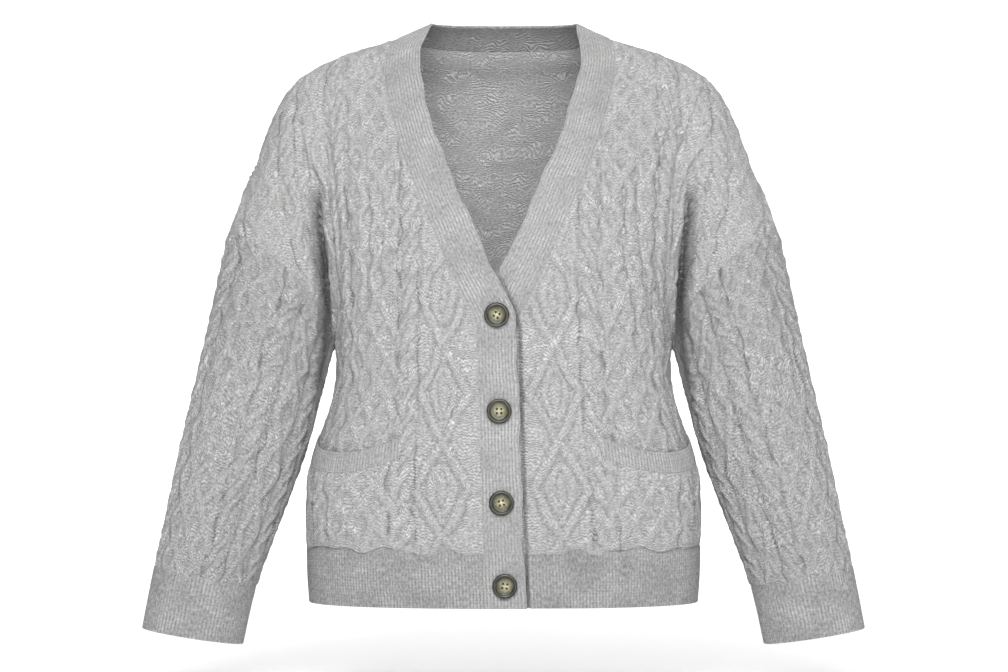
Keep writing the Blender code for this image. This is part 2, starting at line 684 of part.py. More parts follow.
# ---------------------------------------------------------------- pieces
class Cloth:
    """Base grids of the whole garment and the normals its seams share, in world millimetres."""

    def __init__(self):
        self.front, self.front_n = {}, {}
        self.hem, self.hem_n = {}, {}
        self.sleeve, self.sleeve_n = {}, {}
        self.cuff, self.cuff_n = {}, {}
        sleeve, cuff = sleeve_grids()
        half = back_half_grid()
        self.back = np.concatenate([to_world(half, -1)[:, :0:-1], half], axis=1)
        self.back_n = outward(self.back, True)
        rib_half = hem_grid(True, 1, BACK_RIBS, lambda z: 0.0)
        self.back_hem = np.concatenate([to_world(rib_half, -1)[:, :0:-1], rib_half], axis=1)
        self.back_hem_n = outward(self.back_hem, True)
        for side in SIDES:
            grid = to_world(front_grid(side), side)
            soft = plain_edges(folds(side, *grid.shape[:2]), ("left", "right", "low", "high"))
            grid += outward(grid, side < 0) * soft[..., None]
            self.front[side] = grid
            self.front_n[side] = outward(grid, side < 0)
            hem = hem_grid(False, side, FRONT_RIBS, lambda z: seam_start(side, z))
            self.hem[side] = to_world(hem, side)
            self.hem_n[side] = outward(self.hem[side], side < 0)
            self.sleeve[side] = to_world(sleeve, side)
            self.sleeve_n[side] = outward(self.sleeve[side], side < 0, True)
            self.cuff[side] = to_world(cuff, side)
            self.cuff_n[side] = outward(self.cuff[side], side < 0, True)
        self.band = self.band_grid()
        self.band_n = outward(self.band, True)
        self.share_flat_seams()
        for side in SIDES:
            self.share_armhole(side)
            self.share_band(side)
        self.share_neck()

    def band_grid(self):
        """Rows from the right hem up, round the back neck and down to the left hem."""
        across = np.linspace(0, 1, BAND_COLUMNS + 1)
        hem = np.linspace(Z_HEM, Z_HEM_TOP, HEM_ROWS + 1)[:-1]
        straight = lower_levels()[list(STRAIGHT_ROWS)]
        halves = {}
        for side in SIDES:
            levels = np.concatenate([hem, straight, yoke_levels(side, yoke_rows())])
            start, end = free_edge(side, levels), band_seam(side, levels)
            flat = start[:, None] + across[None, :, None] * (end - start)[:, None]
            y = depth(flat[..., 0], flat[..., 1], False)
            y[-1] = 0.0
            if side > 0:
                y += lap(across * BAND_WIDTH, flat[..., 1])
            halves[side] = to_world(np.stack([flat[..., 0], y, flat[..., 1]], axis=-1), side)
        middle = self.back.shape[1] // 2
        seam = self.back[-1, middle - NECK_COLUMNS:middle + NECK_COLUMNS + 1]
        angle = np.pi * lengths(seam) / lengths(seam)[-1]
        left, right = halves[1][-1, 0], halves[-1][-1, 0]
        edge = np.stack([
            (left[0] + right[0]) / 2 - (left[0] - right[0]) / 2 * np.cos(angle),
            NECK_EDGE_DEPTH * np.sin(angle) ** 0.85,
            right[2] + (NECK_EDGE_Z - right[2]) * np.sin(angle)], axis=-1)
        behind = edge[:, None] + across[None, :, None] * (seam - edge)[:, None]
        bulge = np.sin(np.pi * across)[None] * np.sqrt(np.sin(angle))[:, None]
        behind[..., 1] += NECK_BULGE_BACK * bulge
        behind[..., 2] += NECK_BULGE_UP * bulge
        return np.concatenate([halves[-1], behind[1:-1], halves[1][::-1]])

    def share_flat_seams(self):
        """Shoulder, side, hem and cuff seams are flat cuts: their normals lie in the cut."""
        flat_back = self.back_n
        flat_back[0] = flatten(flat_back[0], 2)
        self.back_hem_n[-1] = flatten(self.back_hem_n[-1], 2)
        for shoulder in (np.s_[-1, :SHOULDER_COLUMNS + 1], np.s_[-1, -SHOULDER_COLUMNS - 1:]):
            flat_back[shoulder] = flatten(flat_back[shoulder], 1)
        for normals in (flat_back[:LOWER_ROWS + 1], self.back_hem_n):
            for edge in (0, -1):
                normals[:, edge] = flatten(normals[:, edge], 1)
        for side in SIDES:
            front_n, hem_n = self.front_n[side], self.hem_n[side]
            front_n[0] = flatten(front_n[0], 2)
            hem_n[-1] = flatten(hem_n[-1], 2)
            front_n[-1] = flatten(front_n[-1], 1)
            front_n[:LOWER_ROWS + 1, -1] = flatten(front_n[:LOWER_ROWS + 1, -1], 1)
            hem_n[:, -1] = flatten(hem_n[:, -1], 1)
            inner_q, inner_z, outer_q, outer_z = SLEEVE[CUFF_PLACE][:4]
            axis = unit(np.array((-(outer_z - inner_z) * side, 0.0, outer_q - inner_q)))
            for ring in (self.sleeve_n[side][-1], self.cuff_n[side][0]):
                ring -= (ring @ axis)[:, None] * axis
                ring /= np.linalg.norm(ring, axis=-1, keepdims=True)

    def share_armhole(self, side):
        """One set of normals for front, back and sleeve along the armhole."""
        ring = self.sleeve_n[side][0]
        front = self.front_n[side][LOWER_ROWS:, -1]
        back = self.back_n[LOWER_ROWS:, -1 if side > 0 else 0]
        front_ring = ring[YOKE_ROWS::-1]
        back_ring = ring[np.r_[YOKE_ROWS:2 * YOKE_ROWS, 0]]
        front[:] = unit(front + front_ring)
        back[:] = unit(back + back_ring)
        for end in (0, -1):
            front[end] = back[end] = flatten(unit(front[end] + back[end]), 1)
        ring[:YOKE_ROWS + 1] = front[::-1]
        ring[YOKE_ROWS + 1:] = back[1:-1]

    def band_rows(self, side):
        """Band rows of one front, hem upwards."""
        last = len(self.band) - 1
        rows = np.arange(NECK_LAST + 1)
        return rows if side < 0 else last - rows

    def share_band(self, side):
        """One set of normals for a front, its hem rib and the band."""
        rows = self.band_rows(side)
        front, hem = self.front_n[side][:, 0], self.hem_n[side][:, 0]
        low, high = rows[HEM_ROWS:NECK_FIRST], rows[NECK_FIRST:]
        for band_rows, other, at in ((rows[:HEM_ROWS + 1], hem, np.arange(HEM_ROWS + 1)),
                                     (low, front, np.array(STRAIGHT_ROWS)),
                                     (high, front, np.arange(LOWER_ROWS, LOWER_ROWS + YOKE_ROWS + 1))):
            shared = unit(self.band_n[band_rows, -1] + other[at])
            self.band_n[band_rows, -1] = shared
            other[at] = shared
        self.band_n[rows[HEM_ROWS], -1] = flatten(self.band_n[rows[HEM_ROWS], -1], 2)
        front[0] = hem[-1] = self.band_n[rows[HEM_ROWS], -1]
        skipped = np.setdiff1d(np.arange(LOWER_ROWS), STRAIGHT_ROWS)
        front[skipped] = unit(front[skipped - 1] + front[skipped + 1])

    def share_neck(self):
        """One set of normals for back, fronts and band round the neck."""
        middle = self.back.shape[1] // 2
        neck = self.back_n[-1, middle - NECK_COLUMNS:middle + NECK_COLUMNS + 1]
        band = self.band_n[NECK_LAST:len(self.band_n) - NECK_LAST, -1]
        shared = unit(neck + band)
        shared[0] = flatten(shared[0], 1)
        shared[-1] = flatten(shared[-1], 1)
        neck[:] = shared
        band[:] = shared
        self.front_n[-1][-1, 0] = shared[0]
        self.front_n[1][-1, 0] = shared[-1]


def make_fronts(cloth, wool):
    rows = sorted(set(kept(LOWER_ROWS, 3)) | {LOWER_ROWS + k for k in kept(YOKE_ROWS, 2)})
    for side in SIDES:
        grid, normals = cloth.front[side].copy(), cloth.front_n[side]
        relief = panel_relief(len(grid), np.arange(FRONT_COLUMNS + 1), FRONT_LATTICES, FRONT_ROPES)
        relief *= room_for_relief(grid)
        plain_edges(relief, ("left", "right", "low", "high"))
        relief[:POCKET_CLEAR_ROW + 1, POCKET_FIRST:] = 0.0
        for edge in ("left", "right", "low", "high"):
            pull_in(grid, edge, normals)
        wall(NAMES[side] + "_front", grid, normals, relief, WALL, rows, kept(FRONT_COLUMNS, 2), wool)


def make_back(cloth, wool):
    grid, normals = cloth.back.copy(), cloth.back_n
    half = grid.shape[1] // 2
    relief = panel_relief(len(grid), np.abs(np.arange(-half, half + 1)), BACK_LATTICES, BACK_ROPES)
    relief *= room_for_relief(grid)
    plain_edges(relief, ("left", "right", "low", "high"))
    for edge in ("left", "right", "low", "high"):
        pull_in(grid, edge, normals)
    rows = sorted(set(kept(LOWER_ROWS, 3)) | {LOWER_ROWS + k for k in kept(YOKE_ROWS, 2)})
    wall("back_panel", grid, normals, relief, WALL, rows, kept(2 * half, 2), wool)


def make_sleeves(cloth, wool, ribbed):
    wide = 2 * YOKE_ROWS
    around = np.arange(wide)
    from_outer = np.minimum(around, wide - around)
    for side in SIDES:
        grid, normals = cloth.sleeve[side].copy(), cloth.sleeve_n[side]
        relief = panel_relief(len(grid), from_outer, SLEEVE_LATTICES, SLEEVE_ROPES)
        plain_edges(relief, ("low", "high"))
        pull_in(grid, "low", normals, closed=True)
        pull_in(grid, "high", normals, closed=True)
        wall(NAMES[side] + "_sleeve", grid, normals, relief, WALL, kept(SLEEVE_ROWS, 2),
             list(range(0, wide, 2)), wool, closed=True)
        grid, normals = cloth.cuff[side].copy(), cloth.cuff_n[side]
        pull_in(grid, "low", normals, closed=True)
        wall(NAMES[side] + "_cuff", grid, normals, ribs(len(grid), grid.shape[1]), RIB_WALL,
             kept(CUFF_ROWS, 2), list(range(0, grid.shape[1], 4)), ribbed, closed=True)


def make_hems(cloth, ribbed):
    pieces = [("back_hem_rib", cloth.back_hem, cloth.back_hem_n, ("left", "right", "high"))]
    for side in SIDES:
        edges = ("left", "right", "high")
        pieces.append((NAMES[side] + "_hem_rib", cloth.hem[side], cloth.hem_n[side], edges))
    for name, grid, normals, edges in pieces:
        grid = grid.copy()
        for edge in edges:
            pull_in(grid, edge, normals)
        wide = grid.shape[1]
        wall(name, grid, normals, ribs(len(grid), wide), RIB_WALL, [0, HEM_ROWS],
             kept(wide - 1, 4), ribbed)


def make_band(cloth, ribbed):
    grid, normals = cloth.band.copy(), cloth.band_n
    pull_in(grid, "right", normals)
    half = sorted(set(kept(NECK_FIRST, 2, (HEM_ROWS,))) | {NECK_FIRST + k for k in kept(YOKE_ROWS, 2)})
    last = len(grid) - 1
    neck = range(NECK_LAST, last - NECK_LAST + 1, 2)
    rows = sorted(set(half) | set(neck) | {last - k for k in half})
    wall("front_neck_band", grid, normals, ribs(len(grid), BAND_COLUMNS + 1), RIB_WALL, rows,
         [0, 5, BAND_COLUMNS], ribbed)


def between(grid, row, col):
    """Grid values read between its rows and columns."""
    i = np.clip(np.floor(row).astype(int), 0, grid.shape[0] - 2)
    j = np.clip(np.floor(col).astype(int), 0, grid.shape[1] - 2)
    a, b = (row - i)[..., None], (col - j)[..., None]
    low = grid[i, j] * (1 - b) + grid[i, j + 1] * b
    high = grid[i + 1, j] * (1 - b) + grid[i + 1, j + 1] * b
    return low * (1 - a) + high * a


def pocket_points(cloth, side, across, up, lift):
    """Points over a front at columns across and levels up, lifted off its base."""
    row = (up - Z_HEM_TOP) / (Z_UNDERARM - Z_HEM_TOP) * LOWER_ROWS
    base = between(cloth.front[side], row, across)
    normals = unit(between(cloth.front_n[side], row, across))
    return base + normals * lift[..., None], normals


def make_pockets(cloth, wool, ribbed):
    for side in SIDES:
        cols = np.arange(POCKET_FIRST, POCKET_LAST + 1, dtype=float)
        share = (cols - cols[0]) / (cols[-1] - cols[0])
        mouth = POCKET_TOP - POCKET_SAG * np.sin(np.pi * share) ** 0.8
        rise = np.linspace(0, 1, POCKET_ROWS + 1)
        top = mouth - POCKET_RIB - SEAM_GAP
        up = POCKET_BOTTOM + rise[:, None] * (top - POCKET_BOTTOM)[None]
        bulge = np.sin(np.pi * share)[None] ** 0.7 * np.sin(np.pi / 2 * rise)[:, None]
        lift = SEAT + POCKET_BODY_GAPE * bulge
        across = np.broadcast_to(cols, up.shape)
        inner, normals = pocket_points(cloth, side, across, up, lift)
        relief = panel_relief(len(rise), cols, FRONT_LATTICES, FRONT_ROPES) * POCKET_RELIEF
        plain_edges(relief, ("left", "right", "low", "high"))
        every_row, every_col = list(range(len(rise))), list(range(len(cols)))
        wall(NAMES[side] + "_pocket", inner + normals * POCKET_WALL, normals, relief, POCKET_WALL,
             every_row, every_col, wool)
        fine = np.linspace(cols[0], cols[-1], RIBS_PER_COLUMN * (len(cols) - 1) + 1)
        mouth = np.interp(fine, cols, mouth)
        up = np.stack([mouth - POCKET_RIB, mouth])
        swell = np.interp(fine, cols, bulge[-1])
        lift = SEAT + np.stack([POCKET_BODY_GAPE * swell, POCKET_GAPE * swell])
        inner, normals = pocket_points(cloth, side, np.broadcast_to(fine, up.shape), up, lift)
        wall(NAMES[side] + "_pocket_rib", inner + normals * POCKET_WALL, normals, ribs(2, len(fine)),
             POCKET_WALL, [0, 1], list(range(0, len(fine), RIBS_PER_COLUMN)), ribbed)


def circle(radius, height, sides, centre=(0.0, 0.0)):
    angle = 2 * np.pi * np.arange(sides) / sides
    x = centre[0] + radius * np.cos(angle)
    y = centre[1] + radius * np.sin(angle)
    return [Vector((a, b, height)) for a, b in zip(x, y)]


def button_mesh():
    """Four-hole button: turned rim and well, base at 0, face up +Z; points and faces in mm."""
    rings = [circle(r, h, BUTTON_SIDES) for r, h in BUTTON_PROFILE]
    places = [(sx * HOLE_PITCH / 2, sy * HOLE_PITCH / 2) for sx in (-1, 1) for sy in (-1, 1)]
    base, well = BUTTON_PROFILE[0][1], BUTTON_PROFILE[-1][1]
    holes = [[circle(HOLE_RADIUS, h, HOLE_SIDES, place) for h in (base, well)] for place in places]
    points = [p for ring in rings for p in ring]
    starts = []
    for low, high in holes:
        starts.append((len(points), len(points) + HOLE_SIDES))
        points += low + high
    faces = []
    for k in range(len(rings) - 1):
        for a in range(BUTTON_SIDES):
            b = (a + 1) % BUTTON_SIDES
            low, high = k * BUTTON_SIDES, (k + 1) * BUTTON_SIDES
            faces.append((low + a, low + b, high + b, high + a))
    for low, high in starts:
        for a in range(HOLE_SIDES):
            b = (a + 1) % HOLE_SIDES
            faces.append((low + b, low + a, high + a, high + b))
    for level, ring in ((0, 0), (1, len(rings) - 1)):
        loops = [list(range(ring * BUTTON_SIDES, (ring + 1) * BUTTON_SIDES))]
        loops += [list(range(s[level], s[level] + HOLE_SIDES)) for s in starts]
        order = [index for loop in loops for index in loop]
        flat = [[points[index] for index in loop] for loop in loops]
        faces += [tuple(order[k] for k in face) for face in tessellate_polygon(flat)]
    return points, faces


def make_buttons(cloth, horn):
    """Buttons along the middle of the top band, each square to the cloth under it."""
    points, faces = button_mesh()
    for number, z in enumerate(BUTTON_LEVELS, start=1):
        reach = BUTTON_PROFILE[1][0]
        q = -float(column(BODY, 4, z))
        near = np.array([(q, z), (q - reach, z), (q + reach, z), (q, z - reach), (q, z + reach)])
        y = depth(near[:, 0], near[:, 1], False)
        seat = np.array((-q, min(y), z))
        across = unit(np.array((2 * reach, y[1] - y[2], 0.0)))
        up = unit(np.array((0.0, y[4] - y[3], 2 * reach)))
        out = unit(np.cross(across, up))
        up = np.cross(out, across)
        seat += out * (RIB_HEIGHT + BUTTON_SEAT)
        local = [seat + p.x * across + p.y * up + p.z * out for p in points]
        make_object(f"button_{number}", local, faces, horn)


def main():
    for item in list(bpy.data.objects):
        bpy.data.objects.remove(item)
    cloth = Cloth()
    wool = make_material("grey_knit", WOOL)
    ribbed = make_material("grey_rib", RIB_WOOL)
    make_back(cloth, wool)
    make_fronts(cloth, wool)
    make_sleeves(cloth, wool, ribbed)
    make_hems(cloth, ribbed)
    make_band(cloth, ribbed)
    make_pockets(cloth, wool, ribbed)
    make_buttons(cloth, make_material("horn", HORN))


if __name__ == "__main__":
    main()
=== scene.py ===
"""Cable knit cardigan: fine cloth, knitting, buttons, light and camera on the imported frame.

The worn form is worked out from the same sizes as the solids, in millimetres and in (q, z): q runs
from the middle of the body towards a side. Each cloth piece is a thin shell on its solid's form:
its outer face carries cables, ribs and creases, its inner face the plain wrong side.
"""
import math
from functools import partial
import bpy
import numpy as np
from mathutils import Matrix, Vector
from mathutils.geometry import tessellate_polygon


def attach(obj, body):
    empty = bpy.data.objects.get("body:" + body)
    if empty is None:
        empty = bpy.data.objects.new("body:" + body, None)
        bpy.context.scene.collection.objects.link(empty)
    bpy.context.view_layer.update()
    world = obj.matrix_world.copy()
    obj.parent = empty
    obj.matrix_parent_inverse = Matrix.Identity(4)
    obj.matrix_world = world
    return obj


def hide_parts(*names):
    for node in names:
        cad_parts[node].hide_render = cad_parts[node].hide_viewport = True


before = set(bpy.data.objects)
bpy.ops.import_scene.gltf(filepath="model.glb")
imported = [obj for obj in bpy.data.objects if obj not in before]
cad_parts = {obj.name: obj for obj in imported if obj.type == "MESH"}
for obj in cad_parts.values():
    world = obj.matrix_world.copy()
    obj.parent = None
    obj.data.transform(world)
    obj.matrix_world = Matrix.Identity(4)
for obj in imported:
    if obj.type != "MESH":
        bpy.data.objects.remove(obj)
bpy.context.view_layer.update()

MM = 0.001
SIDES = (-1, 1)
NAMES = {-1: "right", 1: "left"}

# ---- walls, edges and seams ----
CLOTH = 2.4
RIB_CLOTH = 2.6
SEAM_GAP = 0.3
EDGE_ROLL = 1.1
SEAM_ROLL = 0.18
INNER_STRIDE = 4
# most painted shade a valley between strands gets
VALLEY_SHADE_LIMIT = 0.7

# ---- levels and rows of the worn form ----
Z_UNDERARM = -321.0
Z_HEM_TOP = -524.0
Z_HEM = -577.0
LOWER_ROWS = 13
YOKE_ROWS = 20
HEM_ROWS = 2
HEM_COLUMNS = 28
FRONT_COLUMNS = 20
NECK_COLUMNS = 8
SHOULDER_COLUMNS = 10
BAND_WIDTH = 39.0
BAND_COLUMNS = 10

# ---- body: z, half width, depth of front and back, middle of the closure ----
BODY = (
    (-577, 193, 117, 112, 2.4), (-548, 195, 119, 113, 1), (-524, 195.5, 119.5, 113.5, 0),
    (-480, 195.5, 120, 114, -1.8), (-455, 194, 120, 112.5, -2.4), (-430, 188.5, 119, 110, -2.9),
    (-400, 178.5, 117.5, 106.5, -3.8), (-370, 169.5, 116.5, 102, -4.7), (-345, 166, 116.5, 100, -5.6),
    (-321, 167, 117, 100, -6.2), (-290, 170, 118, 101.5, -6.6), (-250, 178, 118.5, 104, -6.6),
    (-207, 192, 117, 106, -6.3), (-150, 209, 112.5, 106, -5.9), (-100, 222, 107.5, 103.5, -5.2),
    (-50, 236, 104, 98, -4), (1, 245, 102, 94, 0),
)
BODY_ROUNDNESS = 2.3

# ---- shoulder line seen from the front: q, z ----
SHOULDER = (
    (0, 6), (60, 3), (76, -1), (101, -13.5), (122, -20), (143, -26), (160, -32), (176, -38.5),
    (187, -44), (197, -50.5), (205, -57), (212, -64), (218, -72), (226, -88), (234, -106), (247, -142),
    (258, -168), (268, -191), (275, -209), (283, -250), (297, -321),
)
FRONT_DROP = 190.0
BACK_DROP_NECK = 72.0
BACK_DROP_ARM = 150.0
FRONT_TURN = 1.6
BACK_TURN = 1.8

# ---- upper arm inside the yoke: z, width seen from the front, half depth ----
ARM = (
    (-340, 132, 61), (-321, 130, 61), (-290, 128, 60.5), (-250, 121, 59), (-207, 112, 57.5),
    (-150, 100, 55.5), (-100, 92, 53), (-60, 85, 47), (-30, 66, 36), (-10, 40, 20), (5, 20, 8),
)
UNDERARM = (168.0, -321.0)
SHOULDER_END = (275.0, -209.0)
ARMHOLE_RISE = 20.0

# ---- front edge: z of the free edge, its distance past the middle, the way to the band seam ----
EDGE = (
    (-577, 20, 39.5, 0), (-345, 19.6, 39, 0), (-316, 19, 38.8, -0.5), (-290, 17, 37.6, -8),
    (-273, 10.5, 35.5, -15), (-253, 0, 34, -18), (-225, -14, 34.6, -16.5), (-190, -29, 35, -15),
    (-158, -43, 35, -14), (-121, -58.5, 35, -12), (-90, -68.5, 35, -10), (-60, -76.5, 35, -7),
    (-35, -79.8, 34.5, -5), (-15, -78.8, 34, -7), (1, -73, 33.4, -16.2),
)
LAP_STEP = 4.3
LAP_NEAR = 46.0
LAP_FAR = 115.0
LAP_TOP = -150.0
LAP_FULL = -236.0
NECK_SEAM_Z = -22.0
NECK_EDGE_DEPTH = 50.0
NECK_EDGE_Z = 2.0
NECK_BULGE_BACK = 1.5
NECK_BULGE_UP = 2.0

# ---- sleeve: inner q, z, outer q, z, half depth, rise of the front ----
SLEEVE = (
    (168, -321, 275, -209, 60, 20), (173.5, -336, 282.5, -244, 60.5, 17),
    (178.5, -354, 289.5, -277, 59.5, 12), (184, -375, 296, -308, 57.5, 8),
    (193.5, -412, 307.5, -359, 54.5, 4), (206, -450, 319, -408, 51, 2),
    (220.5, -489, 329.5, -457, 47.5, 0), (235.5, -528, 339, -504, 43.5, 0),
    (247.5, -561, 347.5, -543, 39.5, 0), (260.5, -618.5, 359, -603, 36.5, 0),
)
SLEEVE_FORWARD = 14.0
CUFF_PLACE = 8
CUFF_COLUMNS = 48
SLEEVE_ROWS = 16
SEAM_SPACING = 0.35

# ---- pockets: columns of the front they span, levels, how far the mouth sags and gapes ----
POCKET_FIRST = 7
POCKET_LAST = 19
POCKET_BOTTOM = -521.5
POCKET_TOP = -410.0
POCKET_SAG = 17.0
POCKET_RIB = 19.5
POCKET_GAPE = 3.0
POCKET_BODY_GAPE = 2.4
POCKET_CLOTH = 2.2
SEAT = 0.5

# ---- buttons: radius and height along the profile, holes ----
BUTTON_LEVELS = (-291.5, -385.0, -474.0, -554.5)
BUTTON_PROFILE = (
    (10.0, 0.0), (11.3, 0.45), (12.0, 1.2), (12.2, 1.9), (12.0, 2.7), (11.4, 3.3), (10.5, 3.6),
    (9.7, 3.5), (9.1, 3.05), (8.5, 2.55), (7.6, 2.3), (6.0, 2.22),
)
BUTTON_SIDES = 64
HOLE_RADIUS = 1.05
HOLE_SIDES = 14
HOLE_PITCH = 4.1
HOLE_PLACES = [(x * HOLE_PITCH / 2, y * HOLE_PITCH / 2) for x in SIDES for y in SIDES]
BUTTON_SEAT = 0.35
BUTTON_TURNS = (-27.0, 0.0, 12.0, -8.0)
RIB_HEIGHT = 1.1

# ---- knitting: nominal size of one chart column and row of each panel ----
FRONT_STITCHES = (11.6, 15.6)
BACK_STITCHES = (12.6, 15.6)
SLEEVE_STITCHES = (9.75, 18.6)
RIB_PITCH = 3.2
CABLE_HEIGHT = 2.6
ROPE_HEIGHT = 2.5
CUFF_RIBS = 84
BAND_RIBS = 12
POCKET_RIBS = 44

# ---- fine grids: steps up and across each piece, steps across a rib, mm of one coarse step ----
BACK_FINE = (250, 256)
FRONT_FINE = (300, 150)
SLEEVE_FINE = (190, 240)
BAND_FINE = (440, 84)
POCKET_FINE = (66, 80)
CUFF_FINE = 13
HEM_FINE = 11
POCKET_RIB_FINE = 6
RIB_FINE = 6
SLEEVE_STEP = 18.0
CUFF_STEP = 30.0
HEM_STEP = 26.5
BAND_STEP = (16.0, 3.9)
POCKET_STEP = 85.0
TABLE_STEP = 2.0

# ---- cut of what shows of each sheet: width and length in m, and area in m2 if it's no rectangle ----
CUTS = {
    "back_panel": ((0.73, 0.53), 0.266), "right_front": ((0.36, 0.53), 0.112),
    "left_front": ((0.36, 0.53), 0.119), "sleeve": ((0.43, 0.36), 0.112), "cuff": ((0.28, 0.062),),
    "back_hem": ((0.53, 0.055),), "front_hem": ((0.245, 0.055),), "pocket": ((0.141, 0.099), 0.0125),
    "pocket_rib": ((0.145, 0.022),),
}
BAND_CUT_WIDTH = 0.041

# ---- edges of knitted panels and sleeves, all linked to a neighbour ----
SEAMS_ROUND = dict.fromkeys(("left", "right", "low", "high"), SEAM_ROLL)
SEAM_RINGS = dict.fromkeys(("low", "high"), SEAM_ROLL)

# ---- outer faces of the cloth with their normals, for the loose fibres, and how many grow on them ----
FUZZ = {"grey_knit": [], "grey_rib": []}
KNIT_FIBRES = 30000
RIB_FIBRES = 12000


# ---- curves and tables ----
def through(stations, values, at):
    """Value at a place on a smooth curve through a table's column, with no overshoot."""
    stations = np.asarray(stations, float)
    values = np.asarray(values, float)
    at = np.clip(np.asarray(at, float), stations[0], stations[-1])
    step = np.diff(stations)
    slope = np.diff(values) / step
    product = slope[:-1] * slope[1:]
    total = np.where(product > 0.0, slope[:-1] + slope[1:], 1.0)
    lean = np.concatenate(([slope[0]], np.where(product > 0.0, 2.0 * product / total, 0.0), [slope[-1]]))
    k = np.clip(np.searchsorted(stations, at, side="right") - 1, 0, len(step) - 1)
    t = (at - stations[k]) / step[k]
    start = values[k] * (1 + 2 * t) * (1 - t) ** 2 + lean[k] * step[k] * t * (1 - t) ** 2
    end = values[k + 1] * t * t * (3 - 2 * t) + lean[k + 1] * step[k] * t * t * (t - 1)
    return start + end


def column(table, key, at):
    """One column of a table, read at a value of its first column."""
    rows = sorted(table)
    return through([row[0] for row in rows], [row[key] for row in rows], at)


def smoothstep(low, high, x):
    t = np.clip((np.asarray(x, float) - low) / (high - low), 0.0, 1.0)
    return t * t * (3 - 2 * t)


def lengths(points):
    """Distance along a line of points, from 0."""
    run = np.linalg.norm(np.diff(points, axis=0), axis=1)
    return np.concatenate(([0.0], np.cumsum(run)))


def spread(points, fractions):
    """Points at given fractions of the length of a line of points."""
    run = lengths(points)
    at = np.asarray(fractions) * run[-1]
    return np.stack([np.interp(at, run, points[:, k]) for k in range(points.shape[1])], axis=-1)


def unit(v):
    return v / np.maximum(np.linalg.norm(v, axis=-1, keepdims=True), 1e-9)


def between(grid, row, col):
    """Grid values read between its rows and columns."""
    i = np.clip(np.floor(row).astype(int), 0, grid.shape[0] - 2)
    j = np.clip(np.floor(col).astype(int), 0, grid.shape[1] - 2)
    a, b = (row - i)[..., None], (col - j)[..., None]
    low = grid[i, j] * (1 - b) + grid[i, j + 1] * b
    high = grid[i + 1, j] * (1 - b) + grid[i + 1, j + 1] * b
    return low * (1 - a) + high * a


# ---- the worn form ----
def ridge(q):
    """Height of the shoulder line at q."""
    return column(SHOULDER, 1, q)


def arm_outside(z):
    """Outermost q of the shoulder and upper arm at a level."""
    return column([(level, q) for q, level in SHOULDER], 1, z)


def rounding(t, power):
    """Depth gained from a ridge (t = 0) down to full depth (t = 1), as a share."""
    t = np.clip(t, 0.0, 1.0)
    return (1 - (1 - t) ** power) ** (1 / power)


def body_depth(q, z, key, drop, turn):
    """Depth of the torso's front (key 2) or back (key 3) at (q, z)."""
    half = column(BODY, 1, z)
    full = column(BODY, key, z)
    across = np.clip(np.abs(q) / half, 0.0, 1.0)
    bow = (1 - across ** BODY_ROUNDNESS) ** (1 / BODY_ROUNDNESS)
    return full * bow * rounding((ridge(np.abs(q)) - z) / drop, turn)


def arm_depth(q, z):
    """Depth of the upper arm, an upright tube beside the torso."""
    outside = arm_outside(z)
    width = column(ARM, 1, z)
    middle = outside - width / 2
    away = np.clip(np.abs(np.abs(q) - middle) / (width / 2), 0.0, 1.0)
    return column(ARM, 2, z) * np.sqrt(1 - away ** 2)


def blend(a, b):
    """The greater of two depths, rounded where they cross."""
    return (np.maximum(a, 0) ** 6 + np.maximum(b, 0) ** 6) ** (1 / 6)


def depth(q, z, back):
    """Depth of the whole worn form at (q, z)."""
    if back:
        near_neck = smoothstep(20.0, 190.0, np.abs(q))
        drop = BACK_DROP_NECK + (BACK_DROP_ARM - BACK_DROP_NECK) * near_neck
        return blend(body_depth(q, z, 3, drop, BACK_TURN), arm_depth(q, z))
    return -blend(body_depth(q, z, 2, FRONT_DROP, FRONT_TURN), arm_depth(q, z))


def with_depth(flat, y):
    """Points in space from places in (q, z) and their depths."""
    return np.stack([flat[..., 0], y, flat[..., 1]], axis=-1)


def surface(flat, back):
    """Points on the worn form at places in (q, z)."""
    return with_depth(flat, depth(flat[..., 0], flat[..., 1], back))


def armhole(fraction):
    """Armhole seam in (q, z), from the underarm point (0) to the end of the shoulder (1)."""
    low = np.array(UNDERARM)
    high = np.array(SHOULDER_END)
    along = (high - low) / np.linalg.norm(high - low)
    inward = np.array((-along[1], along[0]))
    angle = np.pi * np.asarray(fraction)
    share = (1 - np.cos(angle)) / 2
    rise = ARMHOLE_RISE * np.sin(angle) ** 1.5
    return low + share[..., None] * (high - low) + rise[..., None] * inward


def lap(q_from_edge, z):
    """How far the under front lies behind the top one."""
    sideways = 1 - smoothstep(LAP_NEAR, LAP_FAR, q_from_edge)
    upward = 1 - smoothstep(LAP_FULL, LAP_TOP, z)
    return LAP_STEP * sideways * upward


def free_edge(side, level):
    """Free edge of a front's band in (q, z) at its own level."""
    middle = column(BODY, 4, level)
    return np.stack([side * middle - column(EDGE, 1, level), level], axis=-1)


def band_seam(side, level):
    """Seam between band and front, in (q, z), for the free edge's level."""
    edge = free_edge(side, level)
    return edge + np.stack([column(EDGE, 2, level), column(EDGE, 3, level)], axis=-1)


def seam_start(side, z):
    """q of the band seam on the straight part of a front."""
    return side * column(BODY, 4, z) - column(EDGE, 1, z) + column(EDGE, 2, z)


def yoke_levels(side, fractions):
    """Levels of the free edge whose seam points share out the yoke's front edge."""
    level = np.linspace(Z_UNDERARM - 30, EDGE[-1][0], 800)
    seam = band_seam(side, level)
    inside = seam[:, 1] >= Z_UNDERARM
    level = level[inside]
    run = lengths(seam[inside])
    return np.interp(np.asarray(fractions) * run[-1], run, level)


